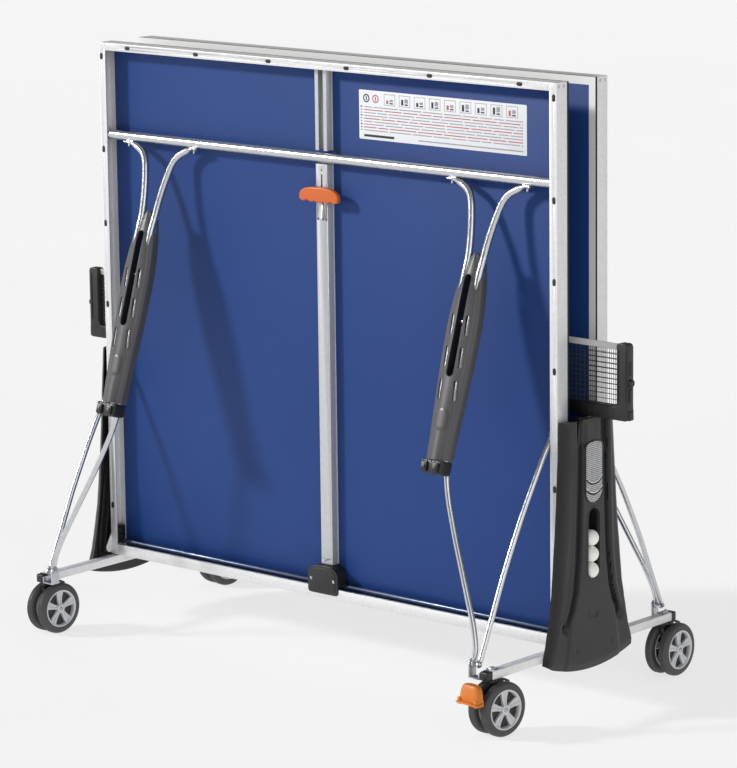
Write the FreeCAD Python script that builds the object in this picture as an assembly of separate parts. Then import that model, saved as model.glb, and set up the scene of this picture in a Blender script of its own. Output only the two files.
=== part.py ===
import FreeCAD, Part
import math
import os

# Compact-folding outdoor table tennis table in its storage position.
# Millimetres. X runs along the net, -Y is the front half, +Z is up, floor at Z = 0.

# ---- driving dimensions ----
HALF_WIDTH = 762.5          # half of the 1525 playing width
HALF_LENGTH = 1370.0        # one half top, net edge to end line
PLAY_HEIGHT = 760.0         # playing surface above the floor when open
NET_HEIGHT = 152.5
PLAY_Y = 51.0               # folded playing surface to the net plane
TOP_DEPTH = 46.0            # playing surface to the front of the frame lip
BOARD_T = 7.0
NET_EDGE_Z = 166.0          # folded net edge above the floor
EDGE_GAP = 4.0              # open net edge to the net plane
SHEET = 2.0                 # steel sheet of the frame rails
SIDE_LIP = 22.5
NET_LIP = 28.0
END_LIP = 20.0

HINGE_DEPTH = 50.0          # panel hinge below the playing surface
HINGE_SETBACK = 18.0        # panel hinge from the net edge
BASE_PIVOT_Y = 358.0        # stay and arm pivot on the base tube
BASE_PIVOT_Z = 174.0
ARM_DEPTH = 24.0            # arm pivot below the playing surface
BAR_DEPTH = 31.0            # leg bar below the playing surface
BAR_Z = 1295.0              # folded leg bar height
LEG_TILT = 17.3             # folded leg away from the half top, degrees
LEG_X = 550.0

TUBE_W = 25.0
TUBE_Z0 = 140.0
TUBE_Z1 = 162.0
TUBE_X = 756.0
TUBE_END = 352.0
CAP_END = 371.0
SWIVEL_Y = 343.0
TRAIL = 18.0
WHEEL_R = 67.0
WHEEL_W = 26.0
FORK_W = 12.0
BALL_D = 40.0
POD_X = 794.0               # outer face of the end cover

POST_X0 = 874.0
POST_X1 = 908.0
POST_HALF_Y = 12.0
ARM_Z0 = 727.0

FRONT_Y = -(PLAY_Y + TOP_DEPTH)             # front of the lip
BACKING_Y = -(PLAY_Y + BOARD_T)             # painted side of the board
TOP_Z = NET_EDGE_Z + HALF_LENGTH
HINGE0 = (-(PLAY_Y + HINGE_DEPTH), NET_EDGE_Z + HINGE_SETBACK)
HINGE1 = (-(EDGE_GAP + HINGE_SETBACK), PLAY_HEIGHT - HINGE_DEPTH)
BAR_Y = -(PLAY_Y + BAR_DEPTH)
LEG_LENGTH = PLAY_HEIGHT - BAR_DEPTH

HEADINGS = {"front_right": -7.6, "front_left": -3.8, "back_right": 1.4, "back_left": 172.4}

os.makedirs("parts", exist_ok=True)
V = FreeCAD.Vector
AX = V(1, 0, 0)
AY = V(0, 1, 0)
AZ = V(0, 0, 1)


# ---- helpers ----
def box(x0, x1, y0, y1, z0, z1):
    return Part.makeBox(x1 - x0, y1 - y0, z1 - z0, V(x0, y0, z0))


def rod(p, axis, radius, length):
    return Part.makeCylinder(radius, length, V(*p), axis)


def prism_x(points, x0, x1):
    wire = Part.makePolygon([V(x0, y, z) for y, z in points] + [V(x0, points[0][0], points[0][1])])
    return Part.Face(wire).extrude(V(x1 - x0, 0, 0))


def prism_y(points, y0, y1):
    wire = Part.makePolygon([V(x, y0, z) for x, z in points] + [V(points[0][0], y0, points[0][1])])
    return Part.Face(wire).extrude(V(0, y1 - y0, 0))


def stadium_x(ya, za, yb, zb, r, x0, x1):
    dy = yb - ya
    dz = zb - za
    n = math.hypot(dy, dz)
    py = -dz / n * r
    pz = dy / n * r
    mid = prism_x([(ya + py, za + pz), (yb + py, zb + pz), (yb - py, zb - pz), (ya - py, za - pz)], x0, x1)
    a = rod((x0, ya, za), AX, r, x1 - x0)
    b = rod((x0, yb, zb), AX, r, x1 - x0)
    return mid.fuse([a, b]).removeSplitter()


def path_wire(points):
    curve = Part.BSplineCurve()
    curve.interpolate([V(*p) for p in points])
    return Part.Wire([curve.toShape()]), curve


def sweep(points, radius):
    wire, curve = path_wire(points)
    start = curve.value(curve.FirstParameter)
    way = curve.tangent(curve.FirstParameter)[0]
    ring = Part.Wire([Part.makeCircle(radius, start, way)])
    return wire.makePipeShell([ring], True, False)


def tube(points, radius, wall):
    return sweep(points, radius).cut(sweep(points, radius - wall))


def turned(shape, axis, degrees, at=V(0, 0, 0)):
    out = shape.copy()
    out.rotate(at, axis, degrees)
    return out


def moved(shape, x, y, z):
    out = shape.copy()
    out.translate(V(x, y, z))
    return out


def flip_x(shape):
    return shape.mirror(V(0, 0, 0), AX)


def flip_y(shape):
    return shape.mirror(V(0, 0, 0), AY)


def pair_x(shape):
    return Part.Compound([shape, flip_x(shape)])


def save(name, shape):
    if shape.ShapeType == "Compound" and len(shape.Solids) == 1:
        shape = shape.Solids[0]
    shape.exportStep("parts/%s.step" % name)


def save_halves(name, front):
    save(name + "_front", front)
    save(name + "_back", flip_y(front))


# ---- linkage positions, outward distances positive ----
def arm_setback():
    s = (BASE_PIVOT_Y, BASE_PIVOT_Z)
    top = (EDGE_GAP - s[0]) ** 2 + (PLAY_HEIGHT - ARM_DEPTH - s[1]) ** 2
    top -= (s[0] - PLAY_Y - ARM_DEPTH) ** 2 + (NET_EDGE_Z - s[1]) ** 2
    return top / (2 * (NET_EDGE_Z - s[1]) - 2 * (EDGE_GAP - s[0]))


def leg_way():
    a = math.radians(LEG_TILT)
    return math.sin(a), -math.cos(a)


def stay_drop():
    folded = (-BAR_Y - BASE_PIVOT_Y, BAR_Z - BASE_PIVOT_Z)
    reach = EDGE_GAP + BAR_Z - NET_EDGE_Z
    opened = (reach - BASE_PIVOT_Y, PLAY_HEIGHT - BAR_DEPTH - BASE_PIVOT_Z)
    a = leg_way()
    top = opened[0] ** 2 + opened[1] ** 2 - folded[0] ** 2 - folded[1] ** 2
    return top / (2 * (folded[0] * a[0] + folded[1] * a[1] + opened[1]))


ARM_PIVOT = (-(PLAY_Y + ARM_DEPTH), NET_EDGE_Z + arm_setback())
STAY_PIVOT = (BAR_Y - stay_drop() * leg_way()[0], BAR_Z + stay_drop() * leg_way()[1])


def reach_of(pivot):
    dy = pivot[0] + BASE_PIVOT_Y
    dz = pivot[1] - BASE_PIVOT_Z
    return math.hypot(dy, dz), -math.degrees(math.atan2(dy, dz))


# ---- base and end frames ----
def base_tube_right():
    outer = box(TUBE_X - TUBE_W / 2, TUBE_X + TUBE_W / 2, -TUBE_END, TUBE_END, TUBE_Z0, TUBE_Z1)
    rims = [e for e in outer.Edges if abs(e.Length - 2 * TUBE_END) < 0.01]
    outer = outer.makeFillet(3.0, rims)
    inner = box(TUBE_X - TUBE_W / 2 + 2, TUBE_X + TUBE_W / 2 - 2, -TUBE_END - 1, TUBE_END + 1,
                TUBE_Z0 + 2, TUBE_Z1 - 2)
    out = outer.cut(inner)
    for y in (-SWIVEL_Y, SWIVEL_Y):
        out = out.cut(rod((TUBE_X, y, TUBE_Z0 - 1), AZ, 6.05, 4))
    return out


def end_cap():
    w = TUBE_W / 2
    head = box(TUBE_X - w, TUBE_X + w, -CAP_END, -TUBE_END, TUBE_Z0, TUBE_Z1)
    head = head.makeFillet(3.0, head.Edges)
    plug = box(TUBE_X - w + 2.1, TUBE_X + w - 2.1, -TUBE_END, -TUBE_END + 1.5, TUBE_Z0 + 2.1, TUBE_Z1 - 2.1)
    return head.fuse(plug)


def crossbeam():
    outer = box(-783.5, 783.5, -20, 20, 176, 216)
    inner = box(-784.5, 784.5, -18, 18, 178, 214)
    return outer.cut(inner)


def guide_line():
    dy = HINGE1[0] - HINGE0[0]
    dz = HINGE1[1] - HINGE0[1]
    return math.hypot(dy, dz), -math.degrees(math.atan2(dy, dz))


def guide_channel():
    travel, lean = guide_line()
    length = travel + 32
    outer = box(767.5, 783.5, -15, 15, 0, length)
    inner = box(767.0, 781.5, -13, 13, -1, length + 1)
    out = moved(outer.cut(inner), 0, 0, -17)
    out = turned(out, AX, lean)
    return moved(out, 0, HINGE0[0], HINGE0[1])


def end_frame_right():
    plate = prism_x([(-122, 140), (122, 140), (122, 196), (42, 726), (-42, 726), (-122, 196)], 783.5, 786.5)
    plate = plate.cut(box(783, 787, -27, 27, 316, 506))
    foot = box(768.5, 783.5, -66, 66, 140, 162)
    front = guide_channel()
    return plate.fuse([foot, front, flip_y(front)]).removeSplitter()


def stay_bracket():
    y0 = -BASE_PIVOT_Y
    shelf = box(709, 743.5, y0 - 13, y0 + 13, 141, 144)
    ear = prism_x([(y0 - 13, 141), (y0 + 13, 141), (y0 + 13, 176), (y0 - 13, 176)], 709, 712)
    crown = rod((709, y0, BASE_PIVOT_Z), AX, 13, 3)
    pin = rod((712, y0, BASE_PIVOT_Z), AX, 4.0, 9)
    head = rod((706, y0, BASE_PIVOT_Z), AX, 7.0, 3)
    web = box(740.5, 743.5, y0 - 13, y0 + 13, 141, 158)
    return shelf.fuse([ear, crown, pin, head, web]).removeSplitter()


# ---- side pods ----
POD_SECTIONS = ((722, 99, 69), (600, 108, 77), (457, 117, 91), (305, 131, 110), (200, 150, 134), (95, 180, 172))


def pod_wire(z, rim, face, x0, x1):
    pts = [V(x0, -rim, z), V(x1, -face, z), V(x1, face, z), V(x0, rim, z)]
    return Part.makePolygon(pts + [pts[0]])


def pod_field():
    outer = [(-38, 716), (38, 716), (42, 430), (62, 300), (96, 175), (-96, 175), (-62, 300), (-42, 430)]
    return prism_x(outer, POD_X - 1, POD_X + 3)


def pod_cover_right():
    face = POD_X - 3
    skin = Part.makeLoft([pod_wire(z, a, b, 769.5, POD_X) for z, a, b in POD_SECTIONS], True, True)
    inner = [pod_wire(z, a - 2.5, b - 3.5, 765, face) for z, a, b in POD_SECTIONS]
    top = POD_SECTIONS[0]
    low = POD_SECTIONS[-1]
    inner = [pod_wire(730, top[1] - 2.5, top[2] - 3.5, 765, face)] + inner
    inner = inner + [pod_wire(80, low[1] - 2.5, low[2] - 3.5, 765, face)]
    shell = skin.cut(Part.makeLoft(inner, True, True))
    lid = skin.common(box(787, POD_X, -120, 120, 719, 722))
    shell = shell.fuse([lid, pod_field()])
    for z in (262, 600):
        shell = shell.fuse(rod((786.5, 0, z), AX, 8, POD_X - 787))
    shell = shell.cut(ball_slot(23.0, 780, 805))
    shell = shell.fuse(ball_slot(25.5, 765, POD_X + 3).cut(ball_slot(23.0, 767, 805)))
    shell = shell.cut(box(780, 791, -19, 19, 712, 730))
    below = box(760, 810, -220, 220, 60, 240).cut(rod((759, 0, 601), AX, 500, 60))
    shell = shell.cut(below)
    for s in (-1, 1):
        shell = shell.fuse(rod((POD_X - 0.5, s * 104, 222), AX, 7, 4))
    return shell.removeSplitter()


def ball_slot(r, x0, x1):
    return stadium_x(0, 347, 0, 478, r, x0, x1)


def racket_holder_right():
    face = POD_X + 3
    pad = stadium_x(0, 546, 0, 632, 33, face, face + 2)
    ribs = []
    for z in (592, 566, 540):
        ring = rod((face + 2, 0, z), AX, 34, 3).cut(rod((face + 1, 0, z + 9), AX, 36, 5))
        ribs.append(ring.common(stadium_x(0, 546, 0, 632, 33, face, face + 6)))
    return pad.fuse(ribs).removeSplitter()


def balls_right():
    out = []
    for k in range(3):
        z = 347 - 23.0 + BALL_D / 2 + 0.1 + k * (BALL_D + 0.2)
        out.append(Part.makeSphere(BALL_D / 2, V(787.2, 0, z)))
    return out


# ---- net ----
def net_post_right():
    arm = box(766.5, POST_X1, -POST_HALF_Y, POST_HALF_Y, ARM_Z0, PLAY_HEIGHT)
    post = box(POST_X0, POST_X1, -POST_HALF_Y, POST_HALF_Y, PLAY_HEIGHT - 1, PLAY_HEIGHT + NET_HEIGHT + 3)
    slot = box(POST_X0 - 1, POST_X0 + 9, -2, 2, PLAY_HEIGHT - 4, PLAY_HEIGHT + NET_HEIGHT + 4)
    inboard = box(724, 766.5, -2.5, 2.5, ARM_Z0, PLAY_HEIGHT)
    tongue = box(786.5, 790.5, -18, 18, 664, ARM_Z0 + 1)
    knob = rod((POST_X1, 0, 790), AX, 9, 7)
    hook = box(POST_X1, POST_X1 + 3, -5, 5, 838, 858)
    return arm.fuse([post, inboard, tongue, knob, hook]).cut(slot).removeSplitter()


def net_mesh():
    return box(-POST_X0 - 8, POST_X0 + 8, -0.6, 0.6, PLAY_HEIGHT + 0.5, PLAY_HEIGHT + NET_HEIGHT - 15)


def net_tape():
    z0 = PLAY_HEIGHT + NET_HEIGHT - 15
    return box(-POST_X0 - 8, POST_X0 + 8, -1.5, 1.5, z0, PLAY_HEIGHT + NET_HEIGHT)


# ---- half top, front ----
def board():
    return box(-HALF_WIDTH, HALF_WIDTH, BACKING_Y, -PLAY_Y, NET_EDGE_Z, TOP_Z)


def side_rail_right():
    x1 = HALF_WIDTH
    web = box(x1 - SHEET, x1, FRONT_Y, BACKING_Y, NET_EDGE_Z, TOP_Z)
    lip = box(x1 - SIDE_LIP, x1, FRONT_Y, FRONT_Y + SHEET, NET_EDGE_Z, TOP_Z)
    flange = box(x1 - 18, x1, BACKING_Y - SHEET, BACKING_Y, NET_EDGE_Z, TOP_Z)
    out = web.fuse([lip, flange])
    hy, hz = HINGE0
    lug = stadium_x(hy, hz, hy + 20, hz + 34, 14, x1, x1 + 3)
    pin = rod((x1 + 3, hy, hz), AX, 5.0, 14)
    py, pz = ARM_PIVOT
    stud = rod((725, py, pz), AX, 4.0, x1 - SHEET - 725)
    for z in (300, 556, 844, 1060, 1256, 1500):
        out = out.cut(stadium_hole(x1 - 9, z))
    out = out.fuse([lug, pin, stud])
    return out.cut(rod((755, -78, 202), AX, 5.3, 12)).removeSplitter()


def stadium_hole(x, z):
    a = rod((x, FRONT_Y - 1, z - 5), AY, 3, 4)
    b = rod((x, FRONT_Y - 1, z + 5), AY, 3, 4)
    return a.fuse([b, box(x - 3, x + 3, FRONT_Y - 1, FRONT_Y + 3, z - 5, z + 5)])


def cross_rails(side_pair):
    x1 = HALF_WIDTH
    out = []
    for z_edge, z_in, lip in ((NET_EDGE_Z, 1, NET_LIP), (TOP_Z, -1, END_LIP)):
        z_lo = min(z_edge, z_edge + z_in * SHEET)
        z_hi = max(z_edge, z_edge + z_in * SHEET)
        web = box(-x1 + SHEET, x1 - SHEET, FRONT_Y, BACKING_Y, z_lo, z_hi)
        z_lo = min(z_edge, z_edge + z_in * lip)
        z_hi = max(z_edge, z_edge + z_in * lip)
        face = box(-x1 + SIDE_LIP, x1 - SIDE_LIP, FRONT_Y, FRONT_Y + SHEET, z_lo, z_hi)
        z_lo = min(z_edge, z_edge + z_in * 18)
        z_hi = max(z_edge, z_edge + z_in * 18)
        back = box(-x1 + 18, x1 - 18, BACKING_Y - SHEET, BACKING_Y, z_lo, z_hi)
        rail = web.fuse([face, back])
        rail = rail.cut(side_pair)
        if z_in < 0:
            for x in (-658, -413, -161, 101, 370, 650):
                a = rod((x - 5, FRONT_Y - 1, z_edge - 10), AY, 3, 4)
                b = rod((x + 5, FRONT_Y - 1, z_edge - 10), AY, 3, 4)
                rail = rail.cut(a.fuse([b, box(x - 5, x + 5, FRONT_Y - 1, FRONT_Y + 3, z_edge - 13, z_edge - 7)]))
        out.append(rail.removeSplitter())
    return Part.Compound(out)


def centre_beam():
    low = box(-19, 19, -81, BACKING_Y, 251, 1278)
    low = low.cut(box(-17, 17, -79, BACKING_Y - 2, 250, 1279))
    low = low.cut(box(-2, 2, -82, -78, 1206, 1252))
    low = low.cut(rod((0, -82, 1262), AY, 2, 4))
    for x, z in ((-14, 1139), (14, 1139), (-14, 268), (12, 268)):
        low = low.cut(rod((x, -82, z), AY, 2, 4))
    up = box(-19, 19, -81, BACKING_Y, 1312, TOP_Z - SHEET)
    up = up.cut(box(-17, 17, -79, BACKING_Y - 2, 1311, TOP_Z))
    up = up.cut(box(-8, 8, -82, -78, 1311, TOP_Z))
    up = up.cut(box(-60, 60, BACKING_Y - SHEET, BACKING_Y, TOP_Z - 18, TOP_Z))
    return Part.Compound([low, up])


def lock_fittings():
    case = box(-51, 51, FRONT_Y, -60.3, 196, 250.5)
    front = box(-51, 51, FRONT_Y - 3, FRONT_Y, 177, 250.5)
    crown = [e for e in front.Edges if abs(e.Length - 3) < 0.01 and e.BoundBox.ZMin > 249]
    front = front.makeFillet(12, crown)
    case = case.common(box(-39, 39, -110, -50, 190, 251).fuse(box(-51, 51, -110, -50, 190, 239)))
    case = case.fuse(front)
    for s in (-1, 1):
        case = case.cut(rod((s * 20, -78, 202), V(s, 0, 0), 5.1, 40))
    latch = box(741.5, 760.5, -92, -64, 195, 242)
    latch = latch.cut(rod((730, -78, 202), AX, 5.1, 40))
    latch = latch.cut(box(741, 752, -93, -84, 214, 228))
    bush = box(744.5, 760.5, -95, -61, BAR_Z - 17, BAR_Z + 17)
    bush = bush.cut(rod((740, BAR_Y, BAR_Z), AX, 12.6, 18.4))
    return Part.Compound([case, latch, flip_x(latch), bush, flip_x(bush)])


def info_label():
    return box(108, 641, BACKING_Y - 0.6, BACKING_Y, 1349, 1471)


def lock_handle():
    top = [(-60, 1209), (-45, 1219), (-24, 1225.4), (0, 1227), (24, 1225.4), (45, 1219), (60, 1209)]
    low = [(67, 1197), (61, 1185.5), (52, 1182.5)]
    for x in (39, 13, -13, -39):
        low = low + [(x + 8, 1182.5), (x, 1186), (x - 8, 1182.5)]
    low = low + [(-52, 1182.5), (-61, 1185.5), (-67, 1197)]
    body = prism_y(top + low, -96, -81.3)
    key = box(-1.8, 1.8, -81.5, -76, 1208, 1226)
    return body.fuse(key).removeSplitter()


def lock_rod_right():
    bar = rod((35, -78, 202), AX, 5.0, 725.0)
    tip = Part.makeCone(5.0, 3.0, 4.5, V(760, -78, 202), AX)
    return bar.fuse(tip)


def guide_shoe_right():
    travel, lean = guide_line()
    out = box(769, 781, -12.7, 12.7, -14, 14)
    out = out.makeFillet(4, [e for e in out.Edges if abs(e.Length - 12) < 0.01])
    out = out.cut(rod((768, 0, 0), AX, 5.05, 14))
    out = turned(out, AX, lean)
    return moved(out, 0, HINGE0[0], HINGE0[1])


# ---- legs ----
def leg_place(shape):
    out = turned(shape, AX, -LEG_TILT)
    return moved(out, 0, BAR_Y, BAR_Z)


def leg_bar():
    outer = rod((-757.5, BAR_Y, BAR_Z), AX, 12.5, 1515)
    inner = rod((-758, BAR_Y, BAR_Z), AX, 11.0, 1516)
    return outer.cut(inner)


def tube_line(cx, s):
    pts = [(128, 22.4), (100, 22.8), (68, 32), (46, 58), (36, 95), (27, 150), (22.5, 200)]
    pts = pts + [(22, v) for v in (245, 300, 400, 500, 600, 700)]
    return [(cx + s * x, 0, -v) for x, v in pts]


def leg_tubes_at(cx):
    out = []
    for s in (-1, 1):
        path = tube_line(cx, s)
        weld = box(cx + s * 115 - 12, cx + s * 115 + 12, -5, 5, -14.2, -9).cut(rod((0, 0, 0), AX, 12.5, 2000))
        weld = weld.cut(rod((-2000, 0, 0), AX, 12.5, 2000))
        one = tube(path, 9.0, 1.5).fuse(weld)
        out.append(leg_place(one))
    return out


def leg_tubes():
    return Part.Compound(leg_tubes_at(LEG_X) + leg_tubes_at(-LEG_X))


SHELL_OUTLINE = ((196, 14), (212, 25), (245, 34), (300, 42), (364, 46), (430, 45), (520, 41), (610, 36), (688, 33))


def shell_plan(grow, y0, y1, v_top, v_low):
    right = [(x + grow, -v) for v, x in SHELL_OUTLINE]
    pts = [V(0, y0, -v_top)] + [V(x, y0, z) for x, z in right]
    curve = Part.BSplineCurve()
    curve.interpolate(pts)
    side = curve.toShape()
    low = V(right[-1][0], y0, -v_low)
    mirror = side.mirror(V(0, 0, 0), AX)
    last = pts[-1]
    edges = [side]
    edges.append(Part.makeLine(last, low))
    edges.append(Part.makeLine(low, V(-low.x, y0, low.z)))
    edges.append(Part.makeLine(V(-low.x, y0, low.z), V(-last.x, y0, last.z)))
    edges.append(mirror)
    face = Part.Face(Part.Wire(Part.__sortEdges__(edges)))
    return face.extrude(V(0, y1 - y0, 0))


def leg_shell_at(cx):
    outer = shell_plan(0, -22, 17, 186, 692)
    inner = shell_plan(-3, -19, 18, 190, 693)
    shell = outer.cut(inner)
    slot = box(-7.5, 7.5, -24, -15, -478, -250)
    slot = slot.fuse([rod((0, -24, -250), AY, 7.5, 9), rod((0, -24, -478), AY, 7.5, 9)])
    shell = shell.cut(slot)
    for v in (362, 437, 509):
        for s in (-1, 1):
            hole = box(-3.5, 3.5, -24, -15, -22, 22)
            hole = turned(hole, AY, 4 * s)
            shell = shell.cut(moved(hole, s * 26, 0, -v))
    for v in (230, 560):
        for s in (-1, 1):
            rib = box(min(s * 28, s * 50), max(s * 28, s * 50), -19.5, 10, -v - 1.5, -v + 1.5)
            shell = shell.fuse(rib.common(outer))
    for s in (-1, 1):
        run = sweep(tube_line(0, s), 9.2)
        shell = shell.cut(run.common(box(-80, 80, -30, 30, -699, -120)))
    return leg_place(moved(shell, cx, 0, 0))


def foot_at(cx):
    body = box(-33, 33, -26, 19, -(LEG_LENGTH - 1), -693)
    body = body.makeFillet(5, [e for e in body.Edges if abs(e.Length - (LEG_LENGTH - 694)) < 0.01])
    for s in (-1, 1):
        body = body.cut(rod((s * 22, 0, -702), AZ, 9.05, 12))
        body = body.fuse(box(s * 17 - 8, s * 17 + 8, -31, -25, -724, -700))
    return leg_place(moved(body, cx, 0, 0))


def stays():
    length, lean = reach_of(STAY_PIVOT)
    pts = [(716, 20), (714, 40), (708, 62), (694, 100), (653, 190), (612, 280), (577, 365), (558, 440)]
    pts = pts + [(551, 500), (LEG_X, 550), (LEG_X, 640), (LEG_X, length - 4)]
    body = tube([(x, 0, s) for x, s in pts], 7.0, 1.2)
    lug = stadium_x(0, 0, 0, 24, 9, 713, 719)
    lug = lug.cut(rod((712, 0, 0), AX, 4.05, 8))
    pin = rod((LEG_X - 12.6, 0, length), AX, 4.0, 25.2)
    knuckle = rod((LEG_X - 6, 0, length), AX, 7.5, 12)
    one = body.fuse([lug, pin, knuckle])
    one = moved(turned(one, AX, lean), 0, -BASE_PIVOT_Y, BASE_PIVOT_Z)
    return pair_x(one)


def arms():
    length, lean = reach_of(ARM_PIVOT)
    x = 731.5
    bow = [(0, 14), (-3, 60), (-9, 140), (-15, 240), (-17, 340), (-14, 440), (-7, 540), (0, length - 14)]
    body = tube([(x, y, s) for y, s in bow], 6.8, 1.2)
    low = stadium_x(0, 0, 0, 22, 8, x - 2.5, x + 2.5)
    bolt = rod((x - 6.5, 0, 0), AX, 5, 13)
    high = stadium_x(0, length - 22, 0, length, 8, x - 2.5, x + 2.5)
    one = body.fuse([low, bolt, high])
    one = one.cut(rod((x - 8, 0, length), AX, 4.05, 16))
    one = moved(turned(one, AX, lean), 0, -BASE_PIVOT_Y, BASE_PIVOT_Z)
    return pair_x(one)


# ---- casters, local frame: swivel axis at the origin, wheel trails towards +Y ----
def caster_place(shape, corner):
    sx = 1 if corner.endswith("right") else -1
    sy = -1 if corner.startswith("front") else 1
    out = turned(shape, AZ, HEADINGS[corner])
    return moved(out, sx * TUBE_X, sy * SWIVEL_Y, 0)


def fork(with_brake):
    half = FORK_W / 2
    plate = prism_x([(-16, 134), (16, 134), (26, 96), (30, 60), (8, 56), (-6, 96)], -half, half)
    collar = rod((0, 0, 133.5), AZ, 15, 6.0)
    stem = rod((0, 0, 139), AZ, 6.0, 17)
    axle = rod((-(half + WHEEL_W + 3), TRAIL, WHEEL_R), AX, 6.0, 2 * (half + WHEEL_W + 3))
    body = plate.fuse([collar, stem, axle])
    if with_brake:
        nose = stadium_x(-10, 122, -50, 118, 7, -half, half)
        nose = nose.cut(rod((-half - 1, -50, 118), AX, 3.05, FORK_W + 2))
        body = body.fuse(nose)
    return body.removeSplitter()


def wheel(side):
    inner = FORK_W / 2 + 2
    outer = inner + WHEEL_W
    x0 = inner if side > 0 else -outer
    tyre = rod((x0, TRAIL, WHEEL_R), AX, WHEEL_R, WHEEL_W)
    rims = [e for e in tyre.Edges if e.Length > 300]
    tyre = tyre.makeFillet(7, rims)
    tyre = tyre.cut(rod((x0 - 1, TRAIL, WHEEL_R), AX, 52, 8))
    tyre = tyre.cut(rod((x0 + WHEEL_W - 7, TRAIL, WHEEL_R), AX, 52, 8))
    for k in range(5):
        a = math.radians(72 * k + 54)
        y = TRAIL + 33 * math.cos(a)
        z = WHEEL_R + 33 * math.sin(a)
        tyre = tyre.cut(rod((x0 - 1, y, z), AX, 11, WHEEL_W + 2))
    hub = rod((x0, TRAIL, WHEEL_R), AX, 13, WHEEL_W)
    tyre = tyre.fuse(hub)
    return tyre.cut(rod((x0 - 1, TRAIL, WHEEL_R), AX, 6.06, WHEEL_W + 2)).removeSplitter()


def brake_pedal():
    side = [(-43, 126), (-52, 136), (-62, 137.5), (-71, 132), (-76, 118), (-88, 110), (-88, 104), (-66, 98), (-47, 99)]
    body = prism_x(side, -27, 27)
    body = body.cut(box(-6.6, 6.6, -62, -40, 90, 140))
    ears = rod((-8, -50, 118), AX, 3.0, 16)
    return body.fuse(ears).removeSplitter()


def build_chassis():
    right = base_tube_right()
    save("base_tube_right", right)
    save("base_tube_left", flip_x(right))
    cap = end_cap()
    caps = [cap, flip_x(cap), flip_y(cap), flip_x(flip_y(cap))]
    save("base_end_caps", Part.Compound(caps))
    save("crossbeam", crossbeam())
    save("end_frames", pair_x(end_frame_right()))
    bracket = stay_bracket()
    save("stay_brackets", Part.Compound([bracket, flip_x(bracket), flip_y(bracket), flip_x(flip_y(bracket))]))
    pod = pod_cover_right()
    save("pod_cover_right", pod)
    save("pod_cover_left", flip_x(pod))
    save("racket_holders", pair_x(racket_holder_right()))
    balls = balls_right()
    save("practice_balls", Part.Compound(balls + [flip_x(b) for b in balls]))
    post = net_post_right()
    save("net_post_right", post)
    save("net_post_left", flip_x(post))
    save("net_mesh", net_mesh())
    save("net_tape", net_tape())


def build_half_tops():
    save_halves("top_board", board())
    sides = pair_x(side_rail_right())
    save_halves("side_rails", sides)
    save_halves("cross_rails", cross_rails(sides))
    save_halves("centre_beam", centre_beam())
    save_halves("lock_fittings", lock_fittings())
    save("info_label", info_label())
    save_halves("lock_handle", lock_handle())
    lock = lock_rod_right()
    save_halves("lock_rod_right", lock)
    save_halves("lock_rod_left", flip_x(lock))
    save_halves("guide_shoes", pair_x(guide_shoe_right()))


def build_legs():
    save_halves("leg_bar", leg_bar())
    save_halves("leg_tubes", leg_tubes())
    save_halves("leg_shells", Part.Compound([leg_shell_at(LEG_X), leg_shell_at(-LEG_X)]))
    save_halves("leg_feet", Part.Compound([foot_at(LEG_X), foot_at(-LEG_X)]))
    save_halves("folding_stays", stays())
    save_halves("folding_arms", arms())


def build_casters():
    for corner in HEADINGS:
        braked = corner in ("front_right", "back_left")
        save("caster_fork_" + corner, caster_place(fork(braked), corner))
        save("wheel_a_" + corner, caster_place(wheel(1), corner))
        save("wheel_b_" + corner, caster_place(wheel(-1), corner))
        if braked:
            save("brake_pedal_" + corner, caster_place(brake_pedal(), corner))


build_chassis()
build_half_tops()
build_legs()
build_casters()
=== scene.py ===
import bpy
import bmesh
import math
from mathutils import Matrix, Vector


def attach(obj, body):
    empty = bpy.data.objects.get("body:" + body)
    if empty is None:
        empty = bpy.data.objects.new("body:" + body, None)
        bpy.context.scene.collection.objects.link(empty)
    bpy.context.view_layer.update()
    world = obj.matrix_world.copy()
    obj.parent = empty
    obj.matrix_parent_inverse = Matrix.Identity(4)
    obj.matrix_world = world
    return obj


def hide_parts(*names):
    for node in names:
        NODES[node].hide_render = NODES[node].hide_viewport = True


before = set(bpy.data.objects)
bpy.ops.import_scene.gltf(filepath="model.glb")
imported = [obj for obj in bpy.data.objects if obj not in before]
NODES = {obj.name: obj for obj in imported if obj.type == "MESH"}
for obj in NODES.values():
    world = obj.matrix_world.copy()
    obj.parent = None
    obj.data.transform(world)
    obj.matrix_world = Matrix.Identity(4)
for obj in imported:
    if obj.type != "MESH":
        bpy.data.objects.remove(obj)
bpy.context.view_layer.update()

MM = 0.001
HEAD_SIDES = 24
WELD_DISTANCE = 0.00002

# ---------------------------------------------------------------- dimensions shared with the model, mm
HALF_WIDTH = 762.5
BACKING_Y = -58.0
FRONT_Y = -97.0
TOP_Z = 1536.0
PLAY_HEIGHT = 760.0
NET_HEIGHT = 152.5
BAR_Y = -82.0
BAR_Z = 1295.0
LEG_TILT = 17.3
LEG_X = 550.0
LEGS = (("right", LEG_X), ("left", -LEG_X))
BAR_END = 757.3
SIDE_HOLES_Z = (300, 556, 844, 1060, 1256, 1500)
TOP_HOLES_X = (-658, -413, -161, 101, 370, 650)
BASE_PIVOT = (-358.0, 174.0)
ARM_PIVOT = (-75.0, 687.686)
STAY_PIVOT = (-187.578, 956.028)
TUBE_X = 756.0
SWIVEL_Y = 343.0
TRAIL = 18.0
WHEEL_R = 67.0
FORK_W = 12.0
WHEEL_W = 26.0
POD_X = 794.0
POD_TOP = 722.0
CHANNEL_DEPTH = 12.0
BALL_R = 19.95
NET_HALF = 882.0
HEADINGS = {"front_right": -7.6, "front_left": -3.8, "back_right": 1.4, "back_left": 172.4}


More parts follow.
